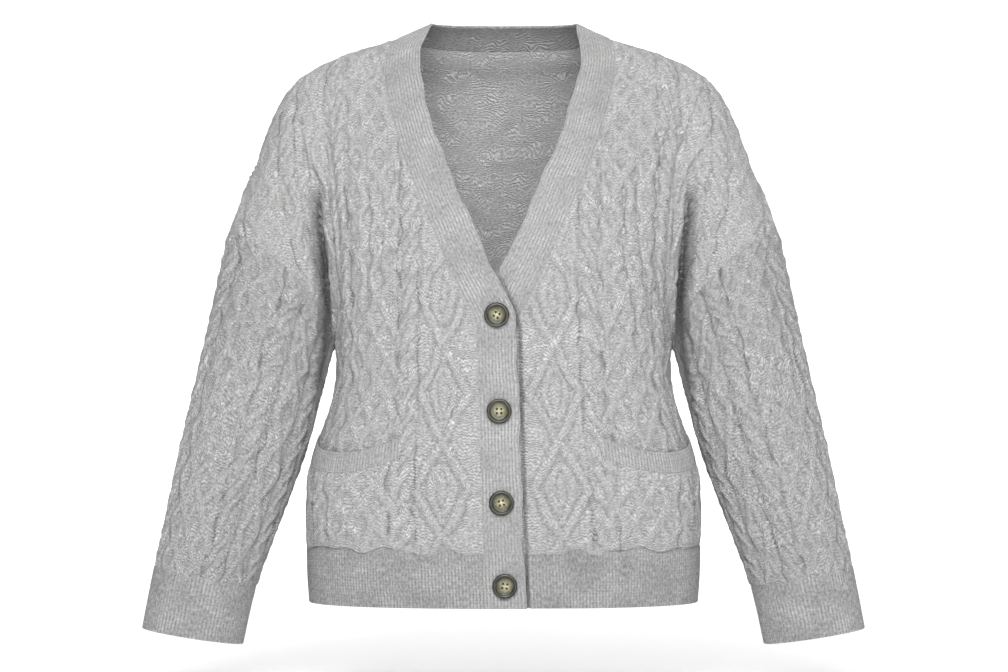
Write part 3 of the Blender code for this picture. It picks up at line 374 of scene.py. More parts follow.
# ---- base grids (mm, in q) ----
def half_row(z, q_start, fractions, back):
    """A level row of the body, from q_start round to the side seam."""
    half = float(column(BODY, 1, z))
    full = float(column(BODY, 3 if back else 2, z))
    first = math.asin(min(1.0, max(0.0, q_start / half)) ** (BODY_ROUNDNESS / 2))
    turn = np.linspace(first, math.pi / 2, 240)
    q = half * np.sin(turn) ** (2 / BODY_ROUNDNESS)
    y = full * np.cos(turn) ** (2 / BODY_ROUNDNESS)
    y[-1] = 0.0
    line = np.stack([q, y if back else -y], axis=-1)
    row = spread(line, fractions)
    return np.stack([row[:, 0], row[:, 1], np.full(len(row), z)], axis=-1)


def patch(edges, u, v):
    """Grid in (q, z) inside four edges (Coons patch): bottom and top lines, inner and outer curves."""
    bottom, top, inner_of, outer_of = edges
    left, right = inner_of(v), outer_of(v)
    u = u[None, :, None]
    v = v[:, None, None]
    ruled_v = (1 - v) * bottom[None] + v * top[None]
    ruled_u = (1 - u) * left[:, None] + u * right[:, None]
    corners = ((1 - u) * (1 - v) * bottom[0] + u * (1 - v) * bottom[-1]
               + (1 - u) * v * top[0] + u * v * top[-1])
    return ruled_v + ruled_u - corners


def settle(y, rounds=3):
    """Smooths depths inside a grid, its edges kept."""
    for _ in range(rounds):
        mean = (y[:-2, 1:-1] + y[2:, 1:-1] + y[1:-1, :-2] + y[1:-1, 2:]) / 4
        y[1:-1, 1:-1] = 0.5 * y[1:-1, 1:-1] + 0.5 * mean
    return y


def row_start(side, z):
    """q where a row starts: a front's at its band seam, half the back's (side 0) in the middle."""
    return float(seam_start(side, z)) if side else 0.0


def level_rows(levels, side, u):
    """Level rows of a front, or of half the back (side 0)."""
    return np.array([half_row(z, row_start(side, z), u, not side) for z in levels])


def yoke_edges(side):
    """Shares of a yoke's columns, then its four edges: a front's, or half the back's (side 0)."""
    u = np.linspace(0, 1, (FRONT_COLUMNS if side else NECK_COLUMNS + SHOULDER_COLUMNS) + 1)
    bottom = level_rows([Z_UNDERARM], side, u)[0][:, [0, 2]]
    neck_end = band_seam(side or -1, np.array(EDGE[-1][0]))
    q = np.linspace(neck_end[0], SHOULDER_END[0], 200)
    shoulder = np.stack([q, ridge(q)], axis=-1)
    if side:
        top = spread(shoulder, u)
        top[0] = neck_end
    else:
        neck_q = neck_end[0] * np.sin(np.linspace(0, 1, NECK_COLUMNS + 1) * np.pi / 2) ** 0.9
        neck_z = NECK_SEAM_Z + (neck_end[1] - NECK_SEAM_Z) * (neck_q / neck_end[0]) ** 3
        line = spread(shoulder, np.linspace(0, 1, SHOULDER_COLUMNS + 1))
        top = np.concatenate([np.stack([neck_q, neck_z], axis=-1), line[1:]])
    top[-1] = SHOULDER_END

    def inner(v):
        if side:
            return band_seam(side, yoke_levels(side, v))
        return np.stack([np.zeros(len(v)), Z_UNDERARM + v * (NECK_SEAM_Z - Z_UNDERARM)], axis=-1)

    return u, (bottom, top, inner, armhole)


HEM_LEVELS = np.linspace(Z_HEM, Z_HEM_TOP, HEM_ROWS + 1)
LOWER_LEVELS = np.linspace(Z_HEM_TOP, Z_UNDERARM, LOWER_ROWS + 1)[:-1]


def yoke_rows():
    """Fractions up the yoke, shared by fronts, back, sleeves and band, for rows of even height."""
    u, edges = yoke_edges(-1)
    dense = np.linspace(0, 1, 161)
    run = lengths(surface(patch(edges, u, dense)[:, len(u) // 2], False))
    return np.interp(np.linspace(0, run[-1], YOKE_ROWS + 1), run, dense)


def to_world(grid, side):
    """Turns q into x."""
    grid = grid.copy()
    grid[..., 0] *= side
    return grid


def placed(grid, side):
    """Turns q into x: half the back (side 0) is mirrored, and the left front lies under the lap."""
    if not side:
        return np.concatenate([to_world(grid, -1)[:, :0:-1], grid], axis=1)
    if side > 0:
        away = grid[..., 0] - grid[:, :1, 0] + BAND_WIDTH
        grid[..., 1] += lap(away, grid[..., 2])
    return to_world(grid, side)


def panel_grid(side):
    """Base grid of a front, or of the whole back (side 0), from the hem's seam up to the shoulder."""
    u, edges = yoke_edges(side)
    flat = patch(edges, u, yoke_rows())
    y = depth(flat[..., 0], flat[..., 1], not side)
    y[0] = level_rows([Z_UNDERARM], side, u)[0, :, 1]
    y[-1, 0 if side else NECK_COLUMNS:] = 0.0
    y[0, -1] = 0.0
    y = settle(y) if side else settle(np.concatenate([y[:, :0:-1], y], axis=1), 8)[:, len(u) - 1:]
    return placed(np.concatenate([level_rows(LOWER_LEVELS, side, u), with_depth(flat, y)]), side)


def hem_grid(side):
    return placed(level_rows(HEM_LEVELS, side, np.linspace(0, 1, HEM_COLUMNS + 1)), side)


def sleeve_row_points(place, angles):
    """Ring of the sleeve or cuff; place counts along the table's rows, angle 0 is outermost."""
    keys = range(len(SLEEVE))
    inner_q, inner_z, outer_q, outer_z, half, rise = (
        float(through(keys, [row[k] for row in SLEEVE], place)) for k in range(6))
    inner = np.array((inner_q, inner_z))
    outer = np.array((outer_q, outer_z))
    along = (outer - inner) / np.linalg.norm(outer - inner)
    inward = np.array((-along[1], along[0]))
    flat = ((inner + outer) / 2 + np.cos(angles)[:, None] * (outer - inner) / 2
            + rise * np.abs(np.sin(angles))[:, None] ** 1.5 * inward)
    forward = SLEEVE_FORWARD * smoothstep(1.0, CUFF_PLACE + 1.0, place)
    return with_depth(flat, -half * np.sin(angles) - forward)


def armhole_ring():
    """Armhole seam all round: from the shoulder end down the front, and up the back."""
    front, back = (surface(armhole(yoke_rows()), behind) for behind in (False, True))
    for line in (front, back):
        line[[0, -1], 1] = 0.0
    return np.concatenate([front[::-1], back[1:-1]])


def sleeve_grids():
    """Base grids of sleeve and cuff, from the armhole down; each ring closes on itself."""
    rows = yoke_rows()
    seam_turn = np.arccos(np.clip(2 * rows[::-1] - 1, -1, 1))
    turn = SEAM_SPACING * seam_turn + (1 - SEAM_SPACING) * np.linspace(0, np.pi, len(rows))
    even = np.linspace(0, 2 * np.pi, 2 * YOKE_ROWS, endpoint=False)
    first = np.concatenate([turn, 2 * np.pi - turn[::-1][1:-1]])
    rings = [armhole_ring()]
    for place in np.linspace(0, CUFF_PLACE, SLEEVE_ROWS + 1)[1:]:
        share = smoothstep(0, 4, place)
        ring = sleeve_row_points(place, first * (1 - share) + even * share)
        start = smoothstep(0.0, 2.0, place)
        ring[:, 1] = ring[:, 1] * start + rings[0][:, 1] * (1 - start)
        rings.append(ring)
    fine = np.linspace(0, 2 * np.pi, CUFF_COLUMNS, endpoint=False)
    cuff = [sleeve_row_points(CUFF_PLACE + step, fine) for step in (0.0, 0.5, 1.0)]
    return np.array(rings), np.array(cuff)


def band_grid(back):
    """Rows from the right hem up, round the back neck and down to the left hem."""
    across = np.linspace(0, 1, BAND_COLUMNS + 1)
    halves = {}
    for side in SIDES:
        levels = np.concatenate([HEM_LEVELS[:-1], LOWER_LEVELS, yoke_levels(side, yoke_rows())])
        start, end = free_edge(side, levels), band_seam(side, levels)
        flat = start[:, None] + across[None, :, None] * (end - start)[:, None]
        y = depth(flat[..., 0], flat[..., 1], False)
        y[-1] = 0.0
        if side > 0:
            y += lap(across * BAND_WIDTH, flat[..., 1])
        halves[side] = to_world(with_depth(flat, y), side)
    middle = back.shape[1] // 2
    seam = back[-1, middle - NECK_COLUMNS:middle + NECK_COLUMNS + 1]
    angle = np.pi * lengths(seam) / lengths(seam)[-1]
    left, right = halves[1][-1, 0], halves[-1][-1, 0]
    edge = np.stack([
        (left[0] + right[0]) / 2 - (left[0] - right[0]) / 2 * np.cos(angle),
        NECK_EDGE_DEPTH * np.sin(angle) ** 0.85,
        right[2] + (NECK_EDGE_Z - right[2]) * np.sin(angle)], axis=-1)
    behind = edge[:, None] + across[None, :, None] * (seam - edge)[:, None]
    bulge = np.sin(np.pi * across)[None] * np.sqrt(np.sin(angle))[:, None]
    behind[..., 1] += NECK_BULGE_BACK * bulge
    behind[..., 2] += NECK_BULGE_UP * bulge
    return np.concatenate([halves[-1], behind[1:-1], halves[1][::-1]])


# ---- fine grids ----
def cardinal(count, places, closed):
    """Weights that read a line of points at fine places, on a smooth curve through them."""
    places = np.asarray(places, float)
    weights = np.zeros((len(places), count))
    last = count if closed else count - 1
    k = np.clip(np.floor(places).astype(int), 0, last - 1)
    t = places - k
    parts = (-t + 2 * t ** 2 - t ** 3, 2 - 5 * t ** 2 + 3 * t ** 3,
             t + 4 * t ** 2 - 3 * t ** 3, -t ** 2 + t ** 3)
    row = np.arange(len(places))
    for step, part in zip((-1, 0, 1, 2), parts):
        at = k + step
        if closed:
            np.add.at(weights, (row, at % count), part / 2)
            continue
        low, high = at < 0, at > count - 1
        inside = ~(low | high)
        np.add.at(weights, (row[inside], at[inside]), part[inside] / 2)
        for outside, first, second in ((low, 0, 1), (high, count - 1, count - 2)):
            np.add.at(weights, (row[outside], np.full(outside.sum(), first)), part[outside])
            np.add.at(weights, (row[outside], np.full(outside.sum(), second)), -part[outside] / 2)
    return weights


def refine(grid, rows, cols, closed=False):
    """A coarse grid read at fine rows and columns."""
    down = np.tensordot(cardinal(grid.shape[0], rows, False), grid, (1, 0))
    return np.einsum("jb,ibk->ijk", cardinal(grid.shape[1], cols, closed), down)


def outward(grid, turned, closed=False):
    """Unit normals of a grid; turned swaps their sense."""
    if closed:
        across = np.roll(grid, -1, axis=1) - np.roll(grid, 1, axis=1)
    else:
        across = np.gradient(grid, axis=1)
    normal = unit(np.cross(across, np.gradient(grid, axis=0)))
    return -normal if turned else normal


def stations(count, fine, pitch):
    """Fine places along a grid side: even steps, with close ones where its edges roll over."""
    near = [EDGE_ROLL * share / pitch for share in (0.3, 0.65, 1.0, 1.5)]
    clear = near[-1] * 1.3
    even = [p for p in np.linspace(0, count, fine + 1) if clear < p < count - clear]
    return np.array([0.0, *near, *even, *(count - n for n in near[::-1]), float(count)])


def to_edge(grid, edge):
    """Distance of each point from one edge of a grid, along the cloth."""
    axis = 0 if edge in ("low", "high") else 1
    run = np.cumsum(np.linalg.norm(np.diff(grid, axis=axis), axis=-1), axis=axis)
    run = np.concatenate([np.zeros_like(run[:1] if axis == 0 else run[:, :1]), run], axis=axis)
    if edge in ("low", "left"):
        return run
    return (run[-1:] if axis == 0 else run[:, -1:]) - run


def roll_over(grid, edges):
    """How far the two faces draw together near free edges and seams, and how near an edge is."""
    lost = np.zeros(grid.shape[:2])
    nearest = np.full(grid.shape[:2], 1e3)
    for edge, radius in edges.items():
        away = to_edge(grid, edge)
        share = 1 - np.clip(away / radius, 0, 1)
        lost = np.maximum(lost, radius * (1 - np.sqrt(np.maximum(0.0, 1 - share ** 2))))
        nearest = np.minimum(nearest, away)
    return lost, nearest


def average(values, reach, closed=False):
    """Values smoothed over a few neighbours each way."""
    for axis in (0, 1):
        pad = [(0, 0), (0, 0)]
        pad[axis] = (reach, reach)
        wide = np.pad(values, pad, mode="wrap" if closed and axis == 1 else "edge")
        parts = [np.take(wide, range(k, k + values.shape[axis]), axis=axis) for k in range(2 * reach + 1)]
        values = sum(parts) / len(parts)
    return values


def kept(count):
    """A few of the indexes from 0 to count, closer at both ends."""
    return sorted({0, 2, *range(3, count - 3, INNER_STRIDE), count - 2, count})


def link_piece(name, points, faces, material, smooth=60.0, uvs=None, marks=None):
    """Mesh from points in mm, shaded smooth up to an angle; uvs go by corner, marks by point."""
    mesh = bpy.data.meshes.new(name)
    sizes = np.array([len(face) for face in faces], np.int32)
    corners = np.concatenate([np.asarray(face, np.int32) for face in faces])
    mesh.vertices.add(len(points))
    mesh.vertices.foreach_set("co", (np.asarray(points) * MM).astype(np.float32).ravel())
    mesh.loops.add(len(corners))
    mesh.loops.foreach_set("vertex_index", corners)
    mesh.polygons.add(len(sizes))
    mesh.polygons.foreach_set("loop_start", np.concatenate(([0], np.cumsum(sizes)[:-1])).astype(np.int32))
    mesh.polygons.foreach_set("loop_total", sizes)
    mesh.update(calc_edges=True)
    mesh.validate()
    if uvs is not None:
        mesh.uv_layers.new(name="knit").data.foreach_set("uv", np.asarray(uvs, np.float32).ravel())
    for key, values in (marks or {}).items():
        mark = mesh.attributes.new(key, "FLOAT", "POINT")
        mark.data.foreach_set("value", np.asarray(values, np.float32))
    mesh.materials.append(material)
    mesh.shade_smooth()
    if smooth:
        mesh.set_sharp_from_angle(angle=math.radians(smooth))
    piece = bpy.data.objects.new(name, mesh)
    bpy.context.scene.collection.objects.link(piece)
    return piece


def shell(name, base, normals, height, chart, thick, material, edges, span=None, fold_shade=0.0):
    """Thin closed shell: fine outer face raised by height, plain inner face, rolled edges.

    chart holds the knitting's own mm across and up for each point; span is its full turn on a ring.
    thick, and the shade painted into deep folds, are one value, or one for each point.
    Gives the piece, and its outer face with its normals.
    """
    closed = span is not None
    lost = roll_over(base, edges)[0]
    outer = base + normals * (height - lost)[..., None]
    # painted shade: colour darkened in the valleys beside raised strands and in deep folds, a little lighter on
    # their tops
    painted_shade = np.minimum(average(height, 2, closed) - height, VALLEY_SHADE_LIMIT) + fold_shade
    high, wide = lost.shape
    rows = kept(high - 1)
    cols = list(range(0, wide, INNER_STRIDE)) if closed else kept(wide - 1)
    few = np.ix_(rows, cols)
    thick = np.broadcast_to(thick, lost.shape)[few]
    inner = base[few] - normals[few] * (thick - lost[few])[..., None]
    points = np.concatenate([outer.reshape(-1, 3), inner.reshape(-1, 3)])
    out = np.arange(lost.size).reshape(lost.shape)
    into = lost.size + np.arange(thick.size).reshape(thick.shape)
    if closed:
        out, into = (np.concatenate([grid, grid[:, :1]], axis=1) for grid in (out, into))
    quads = np.stack([out[:-1, :-1], out[:-1, 1:], out[1:, 1:], out[1:, :-1]], axis=-1).reshape(-1, 4)
    back = np.stack([into[:-1, :-1], into[1:, :-1], into[1:, 1:], into[:-1, 1:]], axis=-1).reshape(-1, 4)
    rims = []

    def zip_edge(outside, inside, stops, reverse):
        """Triangles between an edge's many outer points and its few inner ones."""
        for k in range(len(stops) - 1):
            middle = (stops[k] + stops[k + 1] + 1) // 2
            fan = [(outside[m], inside[k], outside[m + 1]) for m in range(stops[k], middle)]
            fan.append((outside[middle], inside[k], inside[k + 1]))
            fan += [(outside[m], inside[k + 1], outside[m + 1]) for m in range(middle, stops[k + 1])]
            rims.extend(face[::-1] if reverse else face for face in fan)

    col_stops = cols + [wide] * closed
    zip_edge(out[0], into[0], col_stops, False)
    zip_edge(out[-1], into[-1], col_stops, True)
    if not closed:
        zip_edge(out[:, 0], into[:, 0], rows, True)
        zip_edge(out[:, -1], into[:, -1], rows, False)
    rims = np.array(rims)
    # faces look outwards where the grid's own turn agrees with its normals
    first = np.cross(base[0, 1] - base[0, 0], base[1, 0] - base[0, 0])
    if float(first @ normals[0, 0]) < 0:
        quads, back, rims = quads[:, ::-1], back[:, ::-1], rims[:, ::-1]
    corners = np.concatenate([quads.ravel(), back.ravel(), rims.ravel()])
    uvs = np.concatenate([chart.reshape(-1, 2), chart[few].reshape(-1, 2)])[corners]
    if closed:
        # a face that crosses the start of the turn carries on past its end
        sizes = np.repeat((4, 3), (len(quads) + len(back), len(rims)))
        owner = np.repeat(np.arange(len(sizes)), sizes)
        widest = np.zeros(len(sizes))
        np.maximum.at(widest, owner, uvs[:, 0])
        uvs[:, 0] += np.where(uvs[:, 0] < widest[owner] - span / 2, span, 0.0)
    flat = np.zeros(thick.size)
    marks = {"relief": np.concatenate([height.ravel(), flat]),
             "painted_shade": np.concatenate([painted_shade.ravel(), flat]),
             "wrong_side": np.concatenate([np.zeros(lost.size), flat + 1])}
    piece = link_piece(name, points, [*quads, *back, *rims], material, uvs=uvs * MM, marks=marks)
    return piece, (outer, normals)


# ---- knitting charts, in mm ----
def strand(away, half, height):
    """Rounded cross-section of a raised strand."""
    return height * np.maximum(0.0, 1 - (away / half) ** 2) ** 0.7


def soft_tri(t):
    """0 at whole numbers, 1 half way, with rounded turns."""
    tri = 1 - np.abs(2 * (t % 1.0) - 1)
    return tri + 0.05 * np.sin(2 * np.pi * tri) / 2


def diamonds(s, t, centre, half, period, start, width=4.6, height=CABLE_HEIGHT):
    """Two double-stitch strands that travel apart and cross again, one over the other."""
    turn = (t - start) / period
    offset = half * soft_tri(turn)
    slant = 1 / math.sqrt(1 + (2 * half / period) ** 2)
    near = np.exp(-((turn - np.round(turn)) * period / 9.0) ** 2)
    over = np.where(np.round(turn) % 2 == 0, 1.0, -1.0)
    total = np.zeros_like(s)
    for way in (-1, 1):
        away = np.abs(s - centre - way * offset) * slant
        lift = 1 + 0.22 * near * over * way
        groove = 0.3 * np.exp(-(away / 0.8) ** 2)
        total = np.maximum(total, strand(away, width, height) * lift - groove * (away < width))
    return total


def leaf(s, t, centre, period, start, half=10.5, long=52.0, height=1.8):
    """A small pointed eye in the middle of each diamond, its inside slightly raised."""
    turn = (t - start) / period - 0.5
    up = (turn - np.round(turn)) * period
    inside = np.clip(1 - np.abs(2 * up / long), 0, 1)
    bow = half * np.sin(np.pi / 2 * inside) ** 0.8
    ring = strand(np.abs(np.abs(s - centre) - bow), 4.2, height) * smoothstep(0.0, 0.1, inside)
    fill = 0.75 * height * np.exp(-((s - centre) / 4.4) ** 2) * smoothstep(0.25, 0.6, inside)
    return np.maximum(ring, fill)


def rope(s, t, centre, reach=4.7, radius=4.9, period=40.0, lift=1.3, height=ROPE_HEIGHT):
    """Two strands twisted round each other."""
    total = np.zeros_like(s)
    for k in (0, 1):
        turn = 2 * np.pi * t / period + k * np.pi
        away = (s - centre - reach * np.cos(turn)) / radius
        round_top = height * np.sqrt(np.maximum(0.0, 1 - away ** 2)) + lift * np.sin(turn) * (1 - away ** 2)
        total = np.maximum(total, np.where(np.abs(away) < 1, round_top, 0.0))
    return total


def honeycomb(s, t, centre, cells=2, pitch=14.5, sway=5.6, period=40.0, width=6.8, height=2.1):
    """Strands that sway together and apart in turn, and close into cells."""
    total = np.zeros_like(s)
    for k in range(-cells, cells + 1):
        way = 1 if k % 2 == 0 else -1
        line = centre + k * pitch + way * sway * np.cos(2 * np.pi * t / period)
        away = np.abs(s - line)
        groove = 0.3 * np.exp(-(away / 0.7) ** 2)
        total = np.maximum(total, strand(away, width, height) - groove * (away < width))
    return total


# ---- cables of each panel from its middle or band seam out: form, shift up, middle and sizes ----
FRONT_CABLES = (
    (diamonds, 0, 38, 27, 93.7, 15.6), (leaf, 0, 38, 93.7, 15.6), (rope, 0, 79),
    (honeycomb, 12, 125), (rope, 9, 172), (diamonds, 0, 204, 16, 62, 20, 4, 2.2),
    (rope, 20, 236), (honeycomb, 4, 278, 1), (rope, 0, 318),
)
BACK_CABLES = (
    (diamonds, 0, 0, 27, 93.7, 0), (leaf, 0, 0, 93.7, 0), (rope, 0, 49),
    (honeycomb, 0, 96), (rope, 0, 143), (diamonds, 0, 188, 27, 93.7, 40),
    (leaf, 0, 188, 93.7, 40), (rope, 20, 233), (honeycomb, 4, 278, 1), (rope, 0, 320),
)
# alike on the sleeve's front and back
SLEEVE_CABLES = (
    (rope, 0, 0, 4, 4.2, 42, 0.5, 0.9),
    *((rope, place, place, 4.6, 4.6, 38, 1.2, 2.2) for place in (25, 107, 162)),
    (honeycomb, 6, 66, 2, 12, 4.6, 34, 5.8, 2),
    (diamonds, 0, 135, 11, 52, 10, 4.4, 2), (diamonds, 0, 186, 9, 48, 0, 4, 1.6),
)
FRONT_GUTTERS = (66.0, 91.5, 159.0, 185.0, 224.0, 248.0, 306.0)
BACK_GUTTERS = (37.0, 61.0, 131.0, 155.0, 221.0, 245.0, 308.0)
SLEEVE_GUTTERS = (12.5, 37.5, 95.0, 119.5, 150.0, 174.0)


def cables(s, t, forms, gutters, width=1.5, deep=0.9):
    """The highest of a panel's cables at each point, and narrow purl valleys beside them."""
    total = np.zeros_like(s)
    for form, shift, *sizes in forms:
        total = np.maximum(total, form(s, t + shift, *sizes))
    for centre in gutters:
        total += -deep * np.exp(-((s - centre) / width) ** 2) * (total < 0.6)
    return total


def lumps(s, t):
    """Uneven fill of the yarn, a few tenths of a millimetre over 5 to 15 mm."""
    total = np.zeros_like(s)
    for k in range(11):
        angle = 2.4 * k
        wave = 5.0 + 0.95 * k
        total += np.sin((s * math.cos(angle) + t * math.sin(angle)) * 2 * math.pi / wave + 1.7 * k * k)
    return 0.11 * total


def ribs(s, pitch=RIB_PITCH, height=RIB_HEIGHT):
    """1x1 rib: one raised and one sunk stitch in each pitch; s is 0 in a valley."""
    wave = (1 - np.cos(2 * np.pi * s / pitch)) / 2
    return height * wave ** 0.75


def waver(s, t, long=37.0, across=23.0):
    """Uneven hand of the knitting: small slow shifts of the chart."""
    return (0.9 * np.sin(2 * np.pi * t / long + s / 17.0)
            + 0.7 * np.sin(2 * np.pi * s / across + t / 29.0)
            + 0.5 * np.sin(t / 5.3 + s / 11.0))


# ---- creases ----
# for each piece: a path of x and z in mm, half width (or one for each side), depth (- is a trough)
CREASES = {
    "left_arm": (
        ((187, -135, 181, -185, 176.5, -240, 173.5, -290, 173.5, -325, 180, -375), (2.2, 7.4), -28),
        ((179, -205, 175, -250, 173.5, -290, 173.5, -330, 178, -365, 184, -400), (2.2, 6.2), -22),
    ),
    "right_arm": (
        ((-186, -142, -181, -190, -176.5, -245, -173.5, -292, -173.5, -325, -180, -372), (7.4, 2.2), -28),
        ((-179, -200, -175, -250, -173.5, -292, -173.5, -330, -178, -365, -184, -398), (6.2, 2.2), -22),
    ),
    "back_arm": (
        ((186, -130, 180, -190, 175, -250, 172, -345), (4, 11), -16),
        ((-186, -130, -180, -190, -175, -250, -172, -345), (11, 4), -16),
    ),
    "left_lap": (
        ((-26, -226, -7, -252, 2, -270, 10, -289, 14.5, -312, 15.5, -345, 17.5, -420, 20, -500, 23,
          -577, 26, -660), (5, 2.4), -10),
    ),
    "left_front": (
        ((134, -132, 129, -162, 131, -213, 141, -272, 150, -330), 2.6, -5),
        ((117, -150, 118, -176, 117, -228, 126, -277, 132, -330), 2.5, -4.6),
        ((169, -88, 158, -121, 150, -169, 148, -228, 156, -300), 2.8, -6),
        ((189, -89, 179, -116, 167, -158, 161, -200, 160, -248, 167, -320), 3, -6.5),
        ((211, -120, 192, -136, 178, -158, 172, -190), 3, -5),
        ((213, -96, 219, -112, 222, -130, 221, -150), 2.6, -3.8),
        ((143, -110, 140, -170, 140, -230, 149, -290), 5, 2.4),
        ((180, -96, 168, -138, 156, -190, 154, -240), 4.5, 2.6),
    ),
    "right_front": (
        ((-178, -104, -168, -138, -163, -180, -160, -230, -164, -300), 3, -6.2),
        ((-159, -146, -154, -182, -149, -228, -150, -290), 2.8, -5.6),
        ((-212, -75, -200, -107, -193, -143, -180, -166, -176, -205), 3, -5.4),
        ((-224, -147, -212, -172, -203, -198), 3.2, -4.2),
        ((-134, -150, -130, -190, -131, -240, -137, -300), 2.6, -4.2),
        ((-118, -170, -117, -215, -122, -270), 2.6, -3.2),
        ((-168, -116, -160, -160, -155, -210), 4.6, 2.4),
        ((-144, -140, -140, -190, -141, -250), 5, 2.2),
    ),
    "left_sleeve": (
        ((254, -226, 263, -255, 274, -296, 283, -328, 291, -362), 3, -5.6),
        ((256, -280, 262, -301, 268, -331, 278, -372), 2.8, -4),
        ((247, -240, 256, -275, 268, -320), 4.6, 2.2),
        ((196, -356, 212, -384, 236, -404), 6, -3),
        ((225, -452, 248, -470, 276, -478), 6.5, -2.6),
        ((248, -520, 270, -536, 300, -538), 6, -2.4),
    ),
    "right_sleeve": (
        ((-256, -222, -264, -250, -280, -306, -299, -372), 3, -5.6),
        ((-248, -250, -258, -290, -268, -330), 3, -4),
        ((-194, -360, -214, -392, -240, -410), 6, -3),
        ((-230, -470, -254, -486, -284, -490), 6.5, -2.6),
    ),
    "back_panel": (
        ((150, -140, 146, -200, 152, -290), 5, -4.2),
        ((172, -110, 164, -170, 166, -260), 4.6, -4.4),
        ((-148, -150, -146, -215, -152, -300), 5, -4),
        ((-174, -100, -166, -160, -166, -240), 4.6, -4.6),
        ((60, -60, 92, -96, 120, -150), 9, -2.8),
        ((-66, -58, -100, -104, -124, -170), 9, -2.8),
        ((-90, -440, -20, -452, 60, -440), 12, -2.4),
    ),
}


LAPPED = ("left_front", "left_hem", "left_band")


def along_path(x, z, path):
    """Distance to a smooth path, with its sign for the side, and place along it from 0 to 1."""
    places = np.linspace(0, len(path) - 1, 40)
    fine = np.array([through(range(len(path)), path[:, k], places) for k in (0, 1)]).T
    best, sided, place = np.full(x.shape, 1e9), np.zeros(x.shape), np.zeros(x.shape)
    for k in range(len(fine) - 1):
        a, run = fine[k], fine[k + 1] - fine[k]
        t = np.clip(((x - a[0]) * run[0] + (z - a[1]) * run[1]) / (run @ run), 0, 1)
        away = np.hypot(x - a[0] - t * run[0], z - a[1] - t * run[1])
        nearer = away < best
        best = np.where(nearer, away, best)
        sided = np.where(nearer, np.sign(run[0] * (z - a[1]) - run[1] * (x - a[0])) * away, sided)
        place = np.where(nearer, (k + t) / (len(fine) - 1), place)
    return sided, place


def creases(name, base):
    """Depth in mm of the soft troughs of a piece; fronts and sleeves share the folds of their arm."""
    wanted = {name, name.split("_")[0] + "_arm"} | ({"left_lap"} if name in LAPPED else set())
    x, y, z = base[..., 0], base[..., 1], base[..., 2]
    seen = (y > 0) if name in ("back_panel", "back_sleeve") else (y < 0)
    total = np.zeros(x.shape)
    for path, width, deep in [fold for piece in CREASES if piece in wanted for fold in CREASES[piece]]:
        low, high = width if isinstance(width, tuple) else (width, width)
        path = np.reshape(path, (-1, 2)).astype(float)
        reach = 3 * max(low, high)
        first, last = path.min(axis=0) - reach, path.max(axis=0) + reach
        mask = seen & (x > first[0]) & (x < last[0]) & (z > first[1]) & (z < last[1])
        if not mask.any():
            continue
        away, place = along_path(x[mask], z[mask], path)
        ends = smoothstep(0.0, 0.25, place) * (1 - smoothstep(0.9, 1.0, place))
        uneven = 0.85 + 0.15 * np.sin(9.0 * place + 0.1 * path[0, 0])
        total[mask] += deep * uneven * ends * np.exp(-(away / np.where(away < 0, low, high)) ** 2)
    # a trough stops short of the middle of the body or arm
    room_left = 0.8 * np.abs(y) + 1e-6
    return room_left * np.tanh(total / room_left)


# ---- cloth pieces ----
def room(base, nominal, closed=False):
    """Share of the knitting's height a grid has room for, where its columns crowd together."""
    step = np.linalg.norm(np.diff(base, axis=1), axis=-1)
    if closed:
        step = np.concatenate([step, np.linalg.norm(base[:, :1] - base[:, -1:], axis=-1)], axis=1)
    else:
        step = np.concatenate([step, step[:, -1:]], axis=1)
    return smoothstep(0.3, 0.75, step / nominal)


def read_table(table, q, z):
    """Reads a table of the yoke's lengths."""
    return between(table[..., None], (z - Z_UNDERARM) / TABLE_STEP, q / TABLE_STEP)[..., 0]


def yoke_lengths(back):
    """Lengths along the worn form: across from the middle at each level, and up from the underarm."""
    q, z = np.meshgrid(np.arange(0.0, 306.0, TABLE_STEP), np.arange(Z_UNDERARM, 12.0, TABLE_STEP))
    y = depth(q, z, back)
    across = np.cumsum(np.hypot(TABLE_STEP, np.diff(y, axis=1, prepend=y[:, :1])), axis=1)
    up = np.cumsum(np.hypot(TABLE_STEP, np.diff(y, axis=0, prepend=y[:1])), axis=0) - TABLE_STEP
    return across, up


def even_chart(t, s):
    """Chart of even rows and columns: mm across (s) and up (t) for each point."""
    return np.stack(np.meshgrid(t, s, indexing="ij")[::-1], axis=-1)


def body_chart(base, rows, cols, stitches, back, start):
    """Knitting's mm across and up: along the columns below the underarm, and in upright wales above."""
    chart = even_chart(rows * stitches[1], cols * stitches[0])
    across, up = yoke_lengths(back)
    q, z = np.abs(base[..., 0]), base[..., 2]
    sign = np.sign(cols)[None]
    if not back:
        sign = np.ones_like(sign)
        q = np.where(base[..., 0] * base[0, -1, 0] < 0, 0.0, q)
    s = read_table(across, q, z) - read_table(across, np.full(q.shape, start), z)
    first = int(np.searchsorted(rows, LOWER_ROWS))
    scale = abs(chart[first, -1, 0]) / s[first, -1]
    yoke = np.stack([sign * s * scale, LOWER_ROWS * stitches[1] + read_table(up, q, z)], axis=-1)
    yoke += (chart[first] - yoke[first])[None] * np.exp(-(rows - LOWER_ROWS) / 3.0)[:, None, None]
    return np.where((rows >= LOWER_ROWS)[:, None, None], yoke, chart)


def sagged(base, span=None):
    """The hem's seam draws up under each cable: a wavy line that dies out away from it."""
    if span is None:
        span = np.minimum(to_edge(base, "left"), to_edge(base, "right"))
    x, z = base[..., 0], base[..., 2]
    near = np.exp(-((z - Z_HEM_TOP) / 14.0) ** 2) * smoothstep(0.0, 14.0, span)
    base = base.copy()
    base[..., 2] += near * (2.2 * np.sin(x / 9.5 + 0.6) + 1.5 * np.sin(x / 5.1) + 1.0)
    return base


